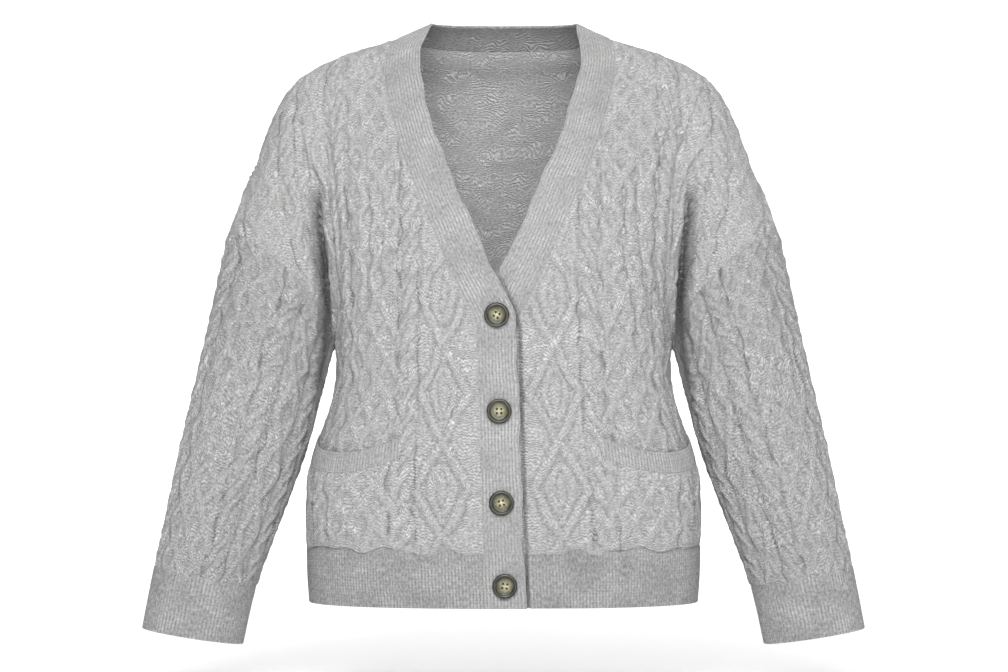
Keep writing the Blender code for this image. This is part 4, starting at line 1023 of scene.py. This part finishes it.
def drawn_up(base, from_seam, side):
    """The cuff's seam is drawn up under each cable: a wavy line round the sleeve."""
    turn = 2 * np.pi * np.arange(base.shape[1]) / base.shape[1]
    wave = 1.5 * np.sin(9 * turn) + 1.1 * np.sin(17 * turn + 1.0) + 0.6 * np.sin(31 * turn)
    near = np.exp(-(from_seam / 10.0) ** 2)
    return base - (near * wave[None])[..., None] * np.array((0.2 * side, 0.0, -0.98))


def fade(away, reach=5.0):
    """Knitting dies out towards a seam."""
    return 0.15 + 0.85 * smoothstep(0.5, reach, away)


def worn(name, coarse, rows, cols, turned, edges, closed=False):
    """Fine form of a piece with its creases, its normals, the distance from its edges, and in its
    folds how far the knitting is calmed and how much shade is painted into them."""
    base = refine(coarse, rows, cols, closed)
    away = roll_over(base, edges)[1]
    if not closed:
        base = sagged(base)
    folds = creases(name, base)
    base[..., 1] += folds * (1 if name == "back_panel" else -1)
    if closed:
        behind = creases("back_sleeve", base)
        base[..., 1] += behind
        folds = folds + behind
    calm = 1 / (1 + (folds / 7.0) ** 2)
    # painted shade: the deepest folds are darkened in colour
    fold_shade = 2.1 * smoothstep(8, 26, -folds)
    return base, outward(base, turned, closed), away, calm, fold_shade


def declare(made, node, slot, flat, area=None):
    """Hangs a piece of cloth on the root, files its outer face for the loose fibres of its slot and hides its
    solid; flat, its cut in metres, and area, the cut's in square metres, are not used.
    """
    piece, face = made
    FUZZ[slot].append(face)
    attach(piece, "root")
    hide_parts(node)


def make_panel(node, side, stitches, fine, charted, wool):
    """A cabled front, or the back (side 0)."""
    coarse = panel_grid(side)
    half = 0 if side else (coarse.shape[1] - 1) / 2
    rows = stations(len(coarse) - 1, fine[0], stitches[1])
    cols = stations(coarse.shape[1] - 1, fine[1], stitches[0])
    base, normals, away, calm, fold_shade = worn(node, coarse, rows, cols, side < 1, SEAMS_ROUND)
    start = abs(row_start(side, Z_UNDERARM))
    chart = body_chart(refine(coarse, rows, cols), rows, cols - half, stitches, not side, start)
    s, t = chart[..., 0], chart[..., 1]
    shifted = waver(s, t)
    across = s + shifted
    if side:
        # cables flatten towards the arm, where the cloth is drawn into upright folds
        calm = calm * (1 - 0.35 * smoothstep(125, 185, s))
    else:
        across = np.abs(across)
    height = (cables(across, t + shifted, *charted) * calm + lumps(s, t)) * fade(away)
    name = node.replace("_panel", "") + "_cloth"
    made = shell(name, base, normals, height, chart, CLOTH, wool, SEAMS_ROUND, fold_shade=fold_shade)
    declare(made, node, "grey_knit", *CUTS[node])


def make_sleeves(wool, ribbed):
    wide, high = SLEEVE_STITCHES
    for side in SIDES:
        node = NAMES[side] + "_sleeve"
        sleeve, cuff = (to_world(grid, side) for grid in sleeve_grids())
        around = sleeve.shape[1]
        full = around * wide
        fine = SLEEVE_FINE[1]
        rows = stations(SLEEVE_ROWS, SLEEVE_FINE[0], SLEEVE_STEP)
        cols = np.arange(fine) * around / fine
        base, normals, away, calm, fold_shade = worn(node, sleeve, rows, cols, side < 0, SEAM_RINGS, True)
        base = drawn_up(base, to_edge(base, "high"), side)
        chart = even_chart(rows * high, cols * wide)
        t = chart[..., 1]
        from_top = np.minimum(chart[..., 0], full - chart[..., 0])
        shifted = waver(from_top, t)
        height = cables(from_top + shifted * smoothstep(0, 8, from_top), t + shifted, SLEEVE_CABLES,
                        SLEEVE_GUTTERS, 1.6, 1.2)
        height = height * calm * room(base, wide * around / fine, True)
        height = (height + lumps(chart[..., 0], t)) * fade(away)
        made = shell(node + "_cloth", base, normals, height, chart, CLOTH, wool, SEAM_RINGS, full, fold_shade)
        declare(made, node, "grey_knit", *CUTS["sleeve"])
        node = NAMES[side] + "_cuff"
        rows = stations(len(cuff) - 1, CUFF_FINE, CUFF_STEP)
        cols = np.arange(CUFF_RIBS * RIB_FINE) * CUFF_COLUMNS / (CUFF_RIBS * RIB_FINE)
        base = refine(cuff, rows, cols, True)
        base = drawn_up(base, to_edge(base, "low"), side)
        normals = outward(base, side < 0, True)
        chart = even_chart(rows * CUFF_STEP, cols / CUFF_COLUMNS * CUFF_RIBS * RIB_PITCH)
        edges = {"low": SEAM_ROLL, "high": EDGE_ROLL}
        made = shell(node + "_cloth", base, normals, ribs(chart[..., 0]), chart, RIB_CLOTH, ribbed, edges,
                     CUFF_RIBS * RIB_PITCH)
        declare(made, node, "grey_rib", *CUTS["cuff"])


def make_hems(ribbed):
    for name, side, count, cut in (("back_hem", 0, 166, "back_hem"), ("right_hem", -1, 72, "front_hem"),
                                   ("left_hem", 1, 72, "front_hem")):
        coarse = hem_grid(side)
        wide = coarse.shape[1] - 1
        rows, cols = stations(HEM_ROWS, HEM_FINE, HEM_STEP), np.linspace(0, wide, count * RIB_FINE + 1)
        base = sagged(refine(coarse, rows, cols))
        base[..., 1] -= creases(name, base)
        chart = even_chart(rows * HEM_STEP, cols / wide * count * RIB_PITCH)
        edges = {"low": EDGE_ROLL, "high": SEAM_ROLL}
        made = shell(name + "_cloth", base, outward(base, side < 1), ribs(chart[..., 0]), chart, RIB_CLOTH,
                     ribbed, edges)
        declare(made, name + "_rib", "grey_rib", *CUTS[cut])


def make_band(ribbed):
    coarse = band_grid(panel_grid(0))
    # the free edge turns the corner at the shoulder softly
    corner = HEM_ROWS + LOWER_ROWS + YOKE_ROWS
    for turn in (corner, len(coarse) - 1 - corner):
        for row in (turn - 1, turn + 1, turn):
            middle = (coarse[row - 1] + coarse[row + 1]) / 2
            coarse[row] += 0.45 * (middle - coarse[row]) * np.linspace(1, 0, BAND_COLUMNS + 1)[:, None]
    rows = stations(len(coarse) - 1, BAND_FINE[0], BAND_STEP[0])
    cols = stations(BAND_COLUMNS, BAND_FINE[1], BAND_STEP[1])
    base = refine(coarse, rows, cols)
    # the free edge wavers a little between the buttons
    share = 1 - cols / BAND_COLUMNS
    place = lengths(base[:, 0])
    wave = 0.8 * np.sin(place / 14.0) + 0.5 * np.sin(place / 5.7 + 1.0)
    base[..., 0] += wave[:, None] * share[None] ** 2
    # the under band sinks away beside the free edge of the top one
    under = np.arange(len(rows))[:, None] > len(rows) // 2
    base[..., 1] -= creases("left_band", base) * under
    run = lengths(base[:, len(cols) // 2])
    chart = even_chart(run, cols / BAND_COLUMNS * BAND_RIBS * RIB_PITCH)
    edges = {"left": EDGE_ROLL, "right": SEAM_ROLL, "low": EDGE_ROLL, "high": EDGE_ROLL}
    made = shell("band_cloth", base, outward(base, True), ribs(chart[..., 0], height=0.9), chart, RIB_CLOTH,
                 ribbed, edges)
    declare(made, "front_neck_band", "grey_rib", (BAND_CUT_WIDTH, float(run[-1]) * MM))


def make_fuzz(slot, count, material):
    """Loose fibre ends that stand off the cloth: slanting slivers that taper to a point, 2 to 6 mm long."""
    rng = np.random.default_rng(7)
    areas = []
    for outer, _ in FUZZ[slot]:
        sides = (outer[1:, 1:] - outer[:-1, :-1], outer[1:, :-1] - outer[:-1, 1:])
        one, other = (np.linalg.norm(side, axis=-1) for side in sides)
        areas.append((one * other / 2).ravel())
    every = np.concatenate(areas)
    picked = rng.choice(len(every), count, p=every / every.sum())
    roots, ways = np.empty((count, 3)), np.empty((count, 3))
    first = 0
    for area, (outer, normals) in zip(areas, FUZZ[slot]):
        mine = (picked >= first) & (picked < first + len(area))
        cell = picked[mine] - first
        first += len(area)
        i, j = np.divmod(cell, outer.shape[1] - 1)
        share = rng.random((len(cell), 2))
        i, j = i + share[:, 0], j + share[:, 1]
        roots[mine], ways[mine] = between(outer, i, j), between(normals, i, j)
    ways = unit(ways)
    aside = unit(np.cross(ways, rng.normal(size=(count, 3))))
    long = 2.0 + 4.0 * rng.random(count) ** 2
    rise = 0.15 + 0.5 * rng.random(count) ** 2
    run = unit(aside + ways * rise[:, None])
    wide = unit(np.cross(run, ways)) * (0.08 + 0.04 * rng.random(count))[:, None]
    deep = unit(np.cross(run, wide)) * 0.09
    start = roots - ways * 0.25
    # a sliver: a three-sided root and a point
    points = np.stack([start - wide, start + wide, start + deep, start + run * long[:, None]], axis=1)
    corners = np.array([[0, 1, 2], [0, 3, 1], [1, 3, 2], [2, 3, 0]])
    faces = (4 * np.arange(count)[:, None, None] + corners[None]).reshape(-1, 3)
    arms = points[:, 1:] - points[:, :1]
    volume = np.einsum("ij,ij->i", np.cross(arms[:, 0], arms[:, 1]), arms[:, 2])
    flip = np.repeat(volume > 0, 4)
    faces[flip] = faces[flip][:, ::-1]
    piece = link_piece("loose_fibres_" + slot, points.reshape(-1, 3), faces, material, 0)
    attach(piece, "root")


def pocket_base(front, across, up, lift):
    """Points over a front at columns across and levels up, lifted off its base; and the way off it."""
    row = (up - Z_HEM_TOP) / (Z_UNDERARM - Z_HEM_TOP) * LOWER_ROWS
    weights = cardinal(front[0].shape[1], across, False)
    base, way = np.empty((2, *up.shape, 3))
    for j in range(len(across)):
        down = cardinal(len(front[0]), row[:, j], False)
        base[:, j], way[:, j] = (down @ np.tensordot(weights[j], grid, (0, 1)) for grid in front)
    way = unit(way)
    return base + way * lift[..., None], way


def make_pockets(wool, ribbed):
    for side in SIDES:
        coarse = panel_grid(side)
        front = (coarse, outward(coarse, side < 0))
        wide = POCKET_LAST - POCKET_FIRST
        body_cols = stations(wide, POCKET_FINE[1], FRONT_STITCHES[0]) + POCKET_FIRST
        rib_cols = np.linspace(POCKET_FIRST, POCKET_LAST, POCKET_RIBS * RIB_FINE + 1)
        for part, cols, rise in (("pocket", body_cols, stations(1, POCKET_FINE[0], POCKET_STEP)),
                                 ("pocket_rib", rib_cols, stations(1, POCKET_RIB_FINE, POCKET_RIB))):
            node = NAMES[side] + "_" + part
            ribs_here = cols is rib_cols
            share = (cols - POCKET_FIRST) / wide
            rise = rise[:, None]
            mouth = POCKET_TOP - POCKET_SAG * np.sin(np.pi * share) ** 0.8
            swell = np.sin(np.pi * share)[None] ** 0.7
            if ribs_here:
                up = mouth[None] - (POCKET_RIB + SEAM_GAP) * (1 - rise)
                gape = (POCKET_BODY_GAPE + (POCKET_GAPE - POCKET_BODY_GAPE) * rise) * swell
            else:
                top = mouth - POCKET_RIB - SEAM_GAP
                up = POCKET_BOTTOM + rise * (top - POCKET_BOTTOM)[None]
                gape = POCKET_BODY_GAPE * (swell * np.sin(np.pi / 2 * rise))
            thin = np.broadcast_to(POCKET_CLOTH - 1.1 * smoothstep(0.72, 1.0, share), up.shape)
            base, normals = pocket_base(front, cols, up, SEAT * thin / POCKET_CLOTH + gape + thin)
            if ribs_here:
                chart = even_chart(rise[:, 0] * POCKET_RIB, share * POCKET_RIBS * RIB_PITCH)
                height = ribs(chart[..., 0])
                edges = {"low": SEAM_ROLL, "high": 0.5}
            else:
                base = sagged(base, 20.0)
                chart = np.stack([cols * FRONT_STITCHES[0] + 0 * up, up - Z_HEM_TOP], axis=-1)
                s, t = chart[..., 0], chart[..., 1]
                edges = {"left": 0.9, "right": 0.45, "low": 0.9, "high": SEAM_ROLL}
                shifted = waver(s, t)
                height = cables(s + shifted, t + shifted, FRONT_CABLES, FRONT_GUTTERS) * 0.9
                height = (height + lumps(s, t)) * fade(roll_over(base, edges)[1], 8.0)
            made = shell(node + "_cloth", base, normals, height * (thin / POCKET_CLOTH), chart, thin,
                         ribbed if ribs_here else wool, edges)
            declare(made, node, "grey_rib" if ribs_here else "grey_knit", *CUTS[part])


# ---- buttons ----
def tube(points, faces, steps, sides, centre=(0.0, 0.0), inwards=False):
    """Adds a ring of points for each step and walls between them; gives each ring's first index."""
    angle = 2 * np.pi * np.arange(sides) / sides
    starts = []
    for radius, height in steps:
        starts.append(len(points))
        rim = zip(centre[0] + radius * np.cos(angle), centre[1] + radius * np.sin(angle))
        points += [Vector((x, y, height)) for x, y in rim]
    for low, high in zip(starts, starts[1:]):
        for a in range(sides):
            b = (a + 1) % sides
            face = (low + a, low + b, high + b, high + a)
            faces.append(face[::-1] if inwards else face)
    return starts


def button_form():
    """Turned button with a rounded rim, a shallow well and four holes; points and faces in mm."""
    points, faces = [], []
    outline = tube(points, faces, BUTTON_PROFILE, BUTTON_SIDES)
    base, well = BUTTON_PROFILE[0][1], BUTTON_PROFILE[-1][1]
    steps = ((HOLE_RADIUS, base), (HOLE_RADIUS, well - 0.35), (HOLE_RADIUS + 0.3, well))
    holes = [tube(points, faces, steps, HOLE_SIDES, place, True) for place in HOLE_PLACES]
    for end in (0, -1):
        loops = [range(outline[end], outline[end] + BUTTON_SIDES)]
        loops += [range(hole[end], hole[end] + HOLE_SIDES) for hole in holes]
        order = [index for loop in loops for index in loop]
        for face in tessellate_polygon([[points[index] for index in loop] for loop in loops]):
            a, b, c = (order[k] for k in face)
            lean = (points[b] - points[a]).cross(points[c] - points[a]).z
            faces.append((a, b, c) if (lean > 0) == (end == -1) else (a, c, b))
    return points, faces


def thread_form():
    """Sewing thread seen down in the holes: a rounded bundle in each, as points and faces in mm."""
    points, faces = [], []
    steps = ((HOLE_RADIUS * 0.9, 0.2), (HOLE_RADIUS * 0.9, 1.1), (HOLE_RADIUS * 0.6, 1.4))
    for place in HOLE_PLACES:
        starts = tube(points, faces, steps, HOLE_SIDES, place)
        faces.append(tuple(starts[0] + a for a in reversed(range(HOLE_SIDES))))
        faces.append(tuple(starts[-1] + a for a in range(HOLE_SIDES)))
    return points, faces


def make_buttons(horn, thread):
    reach = BUTTON_PROFILE[3][0]
    for number, (z, turn) in enumerate(zip(BUTTON_LEVELS, BUTTON_TURNS), start=1):
        q = -float(column(BODY, 4, z))
        near = np.array([(q, z), (q - reach, z), (q + reach, z), (q, z - reach), (q, z + reach)])
        y = depth(near[:, 0], near[:, 1], False)
        across = unit(np.array((2 * reach, y[1] - y[2], 0.0)))
        up = unit(np.array((0.0, y[4] - y[3], 2 * reach)))
        out = unit(np.cross(across, up))
        up = np.cross(out, across)
        seat = np.array((-q, min(y), z)) + out * (RIB_HEIGHT + BUTTON_SEAT)
        turn = math.radians(turn)
        ax = across * math.cos(turn) + up * math.sin(turn)
        ay = up * math.cos(turn) - across * math.sin(turn)
        for form, kind, material in ((button_form, "horn", horn), (thread_form, "thread", thread)):
            points, faces = form()
            local = np.array([seat + p.x * ax + p.y * ay + p.z * out for p in points])
            uvs = np.array([(points[k].x, points[k].y) for face in faces for k in face]) * MM
            piece = link_piece(f"button_{number}_{kind}", local, faces, material, 40.0, uvs)
            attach(piece, "root")
            if kind == "horn":
                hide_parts(f"button_{number}")


# ---- materials ----
def linear(code):
    """sRGB hex to linear colour."""
    parts = [int(code[k:k + 2], 16) / 255 for k in (1, 3, 5)]
    return tuple(c / 12.92 if c <= 0.04045 else ((c + 0.055) / 1.055) ** 2.4 for c in parts) + (1.0,)


def begin(name):
    """New material, a way to add nodes to it, and its shader."""
    material = bpy.data.materials.new(name)
    material.use_nodes = True
    return material, partial(add, material.node_tree), material.node_tree.nodes["Principled BSDF"]


def add(tree, kind, inputs=(), **settings):
    """Adds a node; kind may end in an operation, as in "Math ADD". Inputs are numbers to set, or nodes
    or outputs to link, by place or by name."""
    kind, *operation = kind.split()
    made = tree.nodes.new("ShaderNode" + kind)
    if operation:
        made.operation = operation[0]
    for key, value in settings.items():
        setattr(made, key, value)
    for key, value in inputs.items() if isinstance(inputs, dict) else enumerate(inputs):
        if isinstance(value, bpy.types.Node):
            value = value.outputs[0]
        if isinstance(value, bpy.types.NodeSocket):
            tree.links.new(value, made.inputs[key])
        else:
            made.inputs[key].default_value = value
    return made


def colour_stops(ramp, stops):
    """Sets a colour ramp's stops: place and sRGB hex."""
    elements = ramp.color_ramp.elements
    for element, (place, code) in zip(elements, (stops[0], stops[-1])):
        element.position = place
        element.color = linear(code)
    for place, code in stops[1:-1]:
        elements.new(place).color = linear(code)
    return ramp


def finish_shader(shader, colour, normal, **constants):
    links = shader.id_data.links
    links.new(colour.outputs[0], shader.inputs["Base Color"])
    links.new(normal.outputs[0], shader.inputs["Normal"])
    for key, value in constants.items():
        shader.inputs[key.replace("_", " ")].default_value = value


def melange_wool(name, stops, stitch, course, purl_share, line_share, streak, painted_light_inside, rib_share,
                 gutters=(), turn_back=1.0):
    """Wool-blend melange yarn, carded from light and dark fibres and knitted: a matt, hazy surface
    flecked at the width of a yarn, with lines of stitches; painted shade in the grooves between stitches,
    the valleys between cables, deep folds and purl gutters, painted light on the knit's wrong side and painted
    shade on the ribs'.

    stitch (wide, high), course (a purl row) and turn_back (half a turn of a sleeve) are in metres."""
    material, node, shader = begin(name)
    place = node("TexCoord").outputs["Object"]
    knit = node("UVMap", uv_map="knit")
    relief, painted_shade, wrong = (node("Attribute", attribute_name=key).outputs["Fac"]
                             for key in ("relief", "painted_shade", "wrong_side"))
    # flecks of carded fibre, 2 mm, on a slow drift of 25 mm
    fleck = node("TexNoise", {"Vector": node("VectorMath MULTIPLY", (knit, streak)), "Scale": 1.0,
                              "Detail": 3.0, "Roughness": 0.6})
    drift = node("TexNoise", {"Vector": place, "Scale": 40.0, "Detail": 3.0})
    tone = node("Math ADD", (node("Math MULTIPLY", (fleck, 0.7)), node("Math MULTIPLY", (drift, 0.3))))
    ramp = colour_stops(node("ValToRGB", (tone,)), stops)
    # hand of the knitting: rows and stitches waver by about 2 mm over 9 mm, more on the wrong side
    sway = node("TexNoise", {"Vector": place, "Scale": 60.0, "Detail": 0.6}).outputs["Color"]
    reach = node("MapRange", (wrong, 0.0, 1.0, 0.0145 - 0.0185 * rib_share, 0.025))
    off_middle = node("VectorMath SUBTRACT", (sway, (0.5, 0.5, 0.5)))
    shift = node("VectorMath SCALE", {0: off_middle, "Scale": reach})
    across, along = node("SeparateXYZ", (node("VectorMath ADD", (knit, shift)),)).outputs[:2]
    # rows of stitches are drawn up over each cable and bend round it
    up = node("Math MULTIPLY_ADD", (relief, 0.0013, along))
    # purl side: short arcs in rows one course high
    arc = node("Math SINE", (node("Math MULTIPLY", (across, 2 * math.pi / stitch[0])),))
    purl = node("Math MULTIPLY_ADD", (arc, 0.16, node("Math DIVIDE", (up, course))))
    # plain side: V-shaped stitches
    within = node("Math FRACT", (node("Math DIVIDE", (across, stitch[0])),))
    side = node("Math ABSOLUTE", (node("Math SUBTRACT", (within, 0.5)),))
    plain = node("Math MULTIPLY_ADD", (side, 1.6, node("Math DIVIDE", (up, stitch[1]))))
    is_plain = node("MapRange", (relief, 0.4, 0.9, purl_share, 1.0))
    # ribs: upright lines in the valleys, one for each pitch
    upright = node("Math DIVIDE", (across, RIB_PITCH * MM))
    purl_wave, plain_wave, rib_wave = (node("Math COSINE", (node("Math MULTIPLY", (turns, 2 * math.pi)),))
                                       for turns in (purl, plain, upright))
    knitted = node("Mix", {"Factor": is_plain, "A": purl_wave, "B": plain_wave})
    wave = node("Mix", {"Factor": rib_share, "A": knitted, "B": rib_wave})
    # stitches show here and sink into the fuzz there
    lines = node("Math MULTIPLY", (wave, node("MapRange", (drift, 0.38, 0.6, 0.4, 1.0))))
    # painted shade in the grooves between stitches, and painted light on their tops
    stitch_shade = node("MapRange", (lines, -1.0, 1.0, 1.0 - 0.34 * line_share, 1.0 + 0.14 * line_share))
    # painted shade: darker in the valleys between strands and in deep folds, slightly lighter on the strands'
    # tops
    painted_shade_factor = node("MapRange", (painted_shade, -0.3, 2.7, 1.03, 0.22))
    # painted light and shade on the wrong side: the knit's inside lighter, the ribs' inside darker
    inside = node("MapRange", (wrong, 0.0, 1.0, 1.0, painted_light_inside))
    shade = node("Math MULTIPLY", (node("Math MULTIPLY", (stitch_shade, painted_shade_factor)), inside))
    if gutters:
        # painted shade in the purl gutters beside the cables: dotted, one dark hole for each row of 3.1 mm
        full = gutters[-1] + 10.0
        from_middle = node("Math PINGPONG", (across, turn_back))
        groove = node("ValToRGB", (node("Math MULTIPLY", (from_middle, 1000 / full)),))
        white, grey = "#ffffff", "#8a8a8a"
        colour_stops(groove, [(0.0, white)] + [(mm / full, code) for centre in gutters for mm, code in (
            (centre - 2.0, white), (centre, grey), (centre + 2.0, white))])
        dot = node("Math COSINE", (node("Math MULTIPLY", (along, 2 * math.pi / 0.0031)),))
        shown = node("MapRange", (dot, -1.0, 1.0, 0.45, 1.0))
        for share in ((drift, 0.42, 0.56, 0.1, 0.9), (wrong, 0.0, 1.0, 1.0, 0.0)):
            shown = node("Math MULTIPLY", (shown, node("MapRange", share)))
        shade = node("Math MULTIPLY", (shade, node("Mix", {"Factor": shown, "A": 1.0, "B": groove})))
    colour = node("VectorMath SCALE", {0: ramp, "Scale": shade})
    fibre = node("TexNoise", {"Vector": place, "Scale": 620.0, "Detail": 4.0, "Roughness": 0.7,
                              "Distortion": 1.5})
    height = node("Math MULTIPLY_ADD", (lines, 0.5 * line_share, node("Math MULTIPLY", (fibre, 1.3))))
    normal = node("Bump", {"Height": height, "Strength": 1.0, "Distance": 0.0012})
    finish_shader(shader, colour, normal, Roughness=1.0, Specular_IOR_Level=0.12, Sheen_Weight=0.12,
                  Sheen_Roughness=0.7)
    return material


def one_pattern(name, texture, sizes, stops, strength, **constants):
    """A material whose one fine pattern gives both its tone and its relief."""
    material, node, shader = begin(name)
    pattern = node(texture, {"Vector": node("TexCoord").outputs["Object"], **sizes})
    normal = node("Bump", {"Height": pattern, "Strength": strength, "Distance": 0.0001})
    finish_shader(shader, colour_stops(node("ValToRGB", (pattern,)), stops), normal, **constants)
    return material


def loose_fibre():
    """Carded wool fibre ends, pale and a little translucent: matt, each a shade lighter or darker."""
    return one_pattern("loose_wool_fibre", "TexNoise", {"Scale": 400.0, "Detail": 1.0},
                       ((0.35, "#a8a8a8"), (0.65, "#f2f2f2")), 0.1, Roughness=1.0, Specular_IOR_Level=0.1)


def horn_button():
    """Cast polyester imitating horn, turned and tumbled: a dark marbled rim that clears towards a
    pale middle, with a satin gloss."""
    material, node, shader = begin("cast_polyester_horn")
    place = node("TexCoord").outputs["Object"]
    radius = node("VectorMath LENGTH", (node("UVMap", uv_map="knit"),)).outputs["Value"]
    # clouds of 8 mm pull the rings about by a millimetre
    cloud = node("TexNoise", {"Vector": place, "Scale": 90.0, "Detail": 3.0, "Distortion": 1.0})
    pulled = node("Math MULTIPLY_ADD", (cloud, 0.0050, radius))
    share = node("Math DIVIDE", (node("Math SUBTRACT", (pulled, 0.0025)), 0.0122))
    # the pale middle and dark rim are the horn's own; the lighter ring at 0.86 lies on the rim's rounded top, a
    # painted highlight, with painted shade on the rim's slopes either side
    ramp = colour_stops(node("ValToRGB", (share,)), (
        (0.0, "#d6d2b2"), (0.18, "#bcb899"), (0.38, "#8d896a"), (0.56, "#5d5b45"), (0.68, "#3a392d"),
        (0.78, "#24231d"), (0.86, "#565546"), (0.92, "#2b2a24"), (1.0, "#191814")))
    vein = node("TexNoise", {"Vector": place, "Scale": 260.0, "Detail": 4.0, "Distortion": 3.0})
    marble = node("MapRange", (vein, 0.3, 0.7, 0.45, 1.15))
    colour = node("VectorMath SCALE", {0: ramp, "Scale": marble})
    scuff = node("TexNoise", {"Vector": place, "Scale": 900.0, "Detail": 3.0})
    gloss = node("MapRange", (scuff, 0.0, 1.0, 0.24, 0.42))
    material.node_tree.links.new(gloss.outputs[0], shader.inputs["Roughness"])
    normal = node("Bump", {"Height": scuff, "Strength": 0.1, "Distance": 0.0001})
    finish_shader(shader, colour, normal, IOR=1.54, Coat_Weight=0.1, Coat_Roughness=0.15)
    return material


def hole_shade_thread():
    """Spun polyester thread, twisted, with slanting plies: near black and dull, the painted shade down in the
    holes.
    """
    return one_pattern("thread_painted_hole_shade", "TexWave", {"Scale": 700.0, "Distortion": 1.0},
                       ((0.0, "#191713"), (1.0, "#38352d")), 0.5, Roughness=0.85)


def studio_paper():
    """Pale matt background paper, with a faint tooth."""
    return one_pattern("background_paper", "TexNoise", {"Scale": 300.0, "Detail": 2.0},
                       ((0.0, "#f8f8f8"), (1.0, "#ffffff")), 0.05, Roughness=1.0, Specular_IOR_Level=0.0)


# ---- studio ----
CAMERA = (0.0005, -4.0, -0.312)
LENS = 142.86
FILM_WIDTH = 36.0
FLOOR_Z = -0.662
# the floor ends and the wall stands, and the rounding between them, in metres
SWEEP_HALF_WIDTH = 7.0
SWEEP_FRONT = -7.0
SWEEP_TURN = 6.2
SWEEP_RADIUS = 1.2
SWEEP_TOP = 4.5
SWEEP_STEPS = 24
AIR_LIGHT = 0.255
# name, place, aim, width in metres, power in watts
LAMPS = (
    ("key_softbox", (-0.3, -3.4, 1.5), (0.0, 0.0, -0.3), 1.9, 101.0),
    ("fill_softbox", (1.1, -3.4, 0.6), (0.0, 0.0, -0.3), 1.5, 31.0),
    ("top_softbox", (0.0, -0.9, 2.4), (0.0, 0.0, -0.3), 2.4, 6.0),
    ("floor_light", (0.0, 3.0, 3.4), (0.0, 3.2, -0.6), 4.0, 190.0),
    ("wall_light", (0.0, 4.4, 2.8), (0.0, 7.4, 0.0), 2.5, 190.0),
)


def hold(data, place):
    """An object at a place, for a lamp or the camera."""
    holder = bpy.data.objects.new(data.name, data)
    holder.location = place
    bpy.context.scene.collection.objects.link(holder)
    return holder


def make_studio():
    scene = bpy.context.scene
    line = [(SWEEP_FRONT, FLOOR_Z)]
    for k in range(SWEEP_STEPS + 1):
        turn = math.pi / 2 * k / SWEEP_STEPS
        line.append((SWEEP_TURN + SWEEP_RADIUS * math.sin(turn), FLOOR_Z + SWEEP_RADIUS * (1 - math.cos(turn))))
    line.append((SWEEP_TURN + SWEEP_RADIUS, SWEEP_TOP))
    sides = (-SWEEP_HALF_WIDTH, SWEEP_HALF_WIDTH)
    points = [(x * 1000, y * 1000, z * 1000) for y, z in line for x in sides]
    faces = [(2 * k, 2 * k + 1, 2 * k + 3, 2 * k + 2) for k in range(len(line) - 1)]
    link_piece("background_sweep", points, faces, studio_paper(), 0)
    scene.world = bpy.data.worlds.new("studio_air")
    scene.world.use_nodes = True
    air = scene.world.node_tree.nodes["Background"].inputs
    air["Color"].default_value = (1.0, 1.0, 1.0, 1.0)
    air["Strength"].default_value = AIR_LIGHT
    for name, place, aim, size, power in LAMPS:
        lamp = bpy.data.lights.new(name, "AREA")
        lamp.energy = power
        lamp.size = size
        lamp.shape = "DISK"
        way = Vector(aim) - Vector(place)
        hold(lamp, place).rotation_euler = way.to_track_quat("-Z", "Y").to_euler()
    camera = bpy.data.cameras.new("camera")
    camera.lens = LENS
    camera.sensor_width = FILM_WIDTH
    scene.camera = hold(camera, CAMERA)
    scene.camera.rotation_euler = (math.pi / 2, 0.0, 0.0)
    scene.view_settings.view_transform = "Standard"


def main():
    def greys(dark, middle, pale):
        return (0.34, dark), (0.5, middle), (0.66, pale)

    light = greys("#a4a4a4", "#cecece", "#ececec")
    knit = dict(stitch=(0.0046, 0.0033), course=0.0029, purl_share=0.0, line_share=1.0,
                streak=(360.0, 520.0, 1.0), painted_light_inside=1.12, rib_share=0.0)
    front_wool = melange_wool("melange_wool_cabled_front", light, **knit, gutters=FRONT_GUTTERS)
    back_wool = melange_wool("melange_wool_cabled_back", light, **knit, gutters=BACK_GUTTERS)
    # painted shade: the sleeves' yarn is a darker copy of the fronts' and back's
    darker = greys("#9a9a9a", "#c4c4c4", "#e2e2e2")
    sleeve_wool = melange_wool("melange_wool_cabled_sleeve", darker, **knit, gutters=SLEEVE_GUTTERS,
                               turn_back=0.195)
    # painted shade: the ribs' yarn is a darker copy of the cabled knit, and the hems' and cuffs' welt darker
    # still
    rib = dict(stitch=(0.0032, 0.0029), course=0.0029, purl_share=0.6, line_share=1.4,
               streak=(500.0, 260.0, 1.0), painted_light_inside=0.86, rib_share=0.75)
    ribbed = melange_wool("melange_wool_rib", greys("#a0a0a0", "#c2c2c2", "#dedede"), **rib)
    shaded_welt = melange_wool("melange_wool_welt_shaded", greys("#929292", "#bababa", "#dedede"), **rib)
    make_panel("back_panel", 0, BACK_STITCHES, BACK_FINE, (BACK_CABLES, BACK_GUTTERS), back_wool)
    for side in SIDES:
        make_panel(NAMES[side] + "_front", side, FRONT_STITCHES, FRONT_FINE, (FRONT_CABLES, FRONT_GUTTERS),
                   front_wool)
    make_sleeves(sleeve_wool, shaded_welt)
    make_hems(shaded_welt)
    make_band(ribbed)
    make_pockets(front_wool, ribbed)
    fibre = loose_fibre()
    make_fuzz("grey_knit", KNIT_FIBRES, fibre)
    make_fuzz("grey_rib", RIB_FIBRES, fibre)
    make_buttons(horn_button(), hole_shade_thread())
    make_studio()


main()
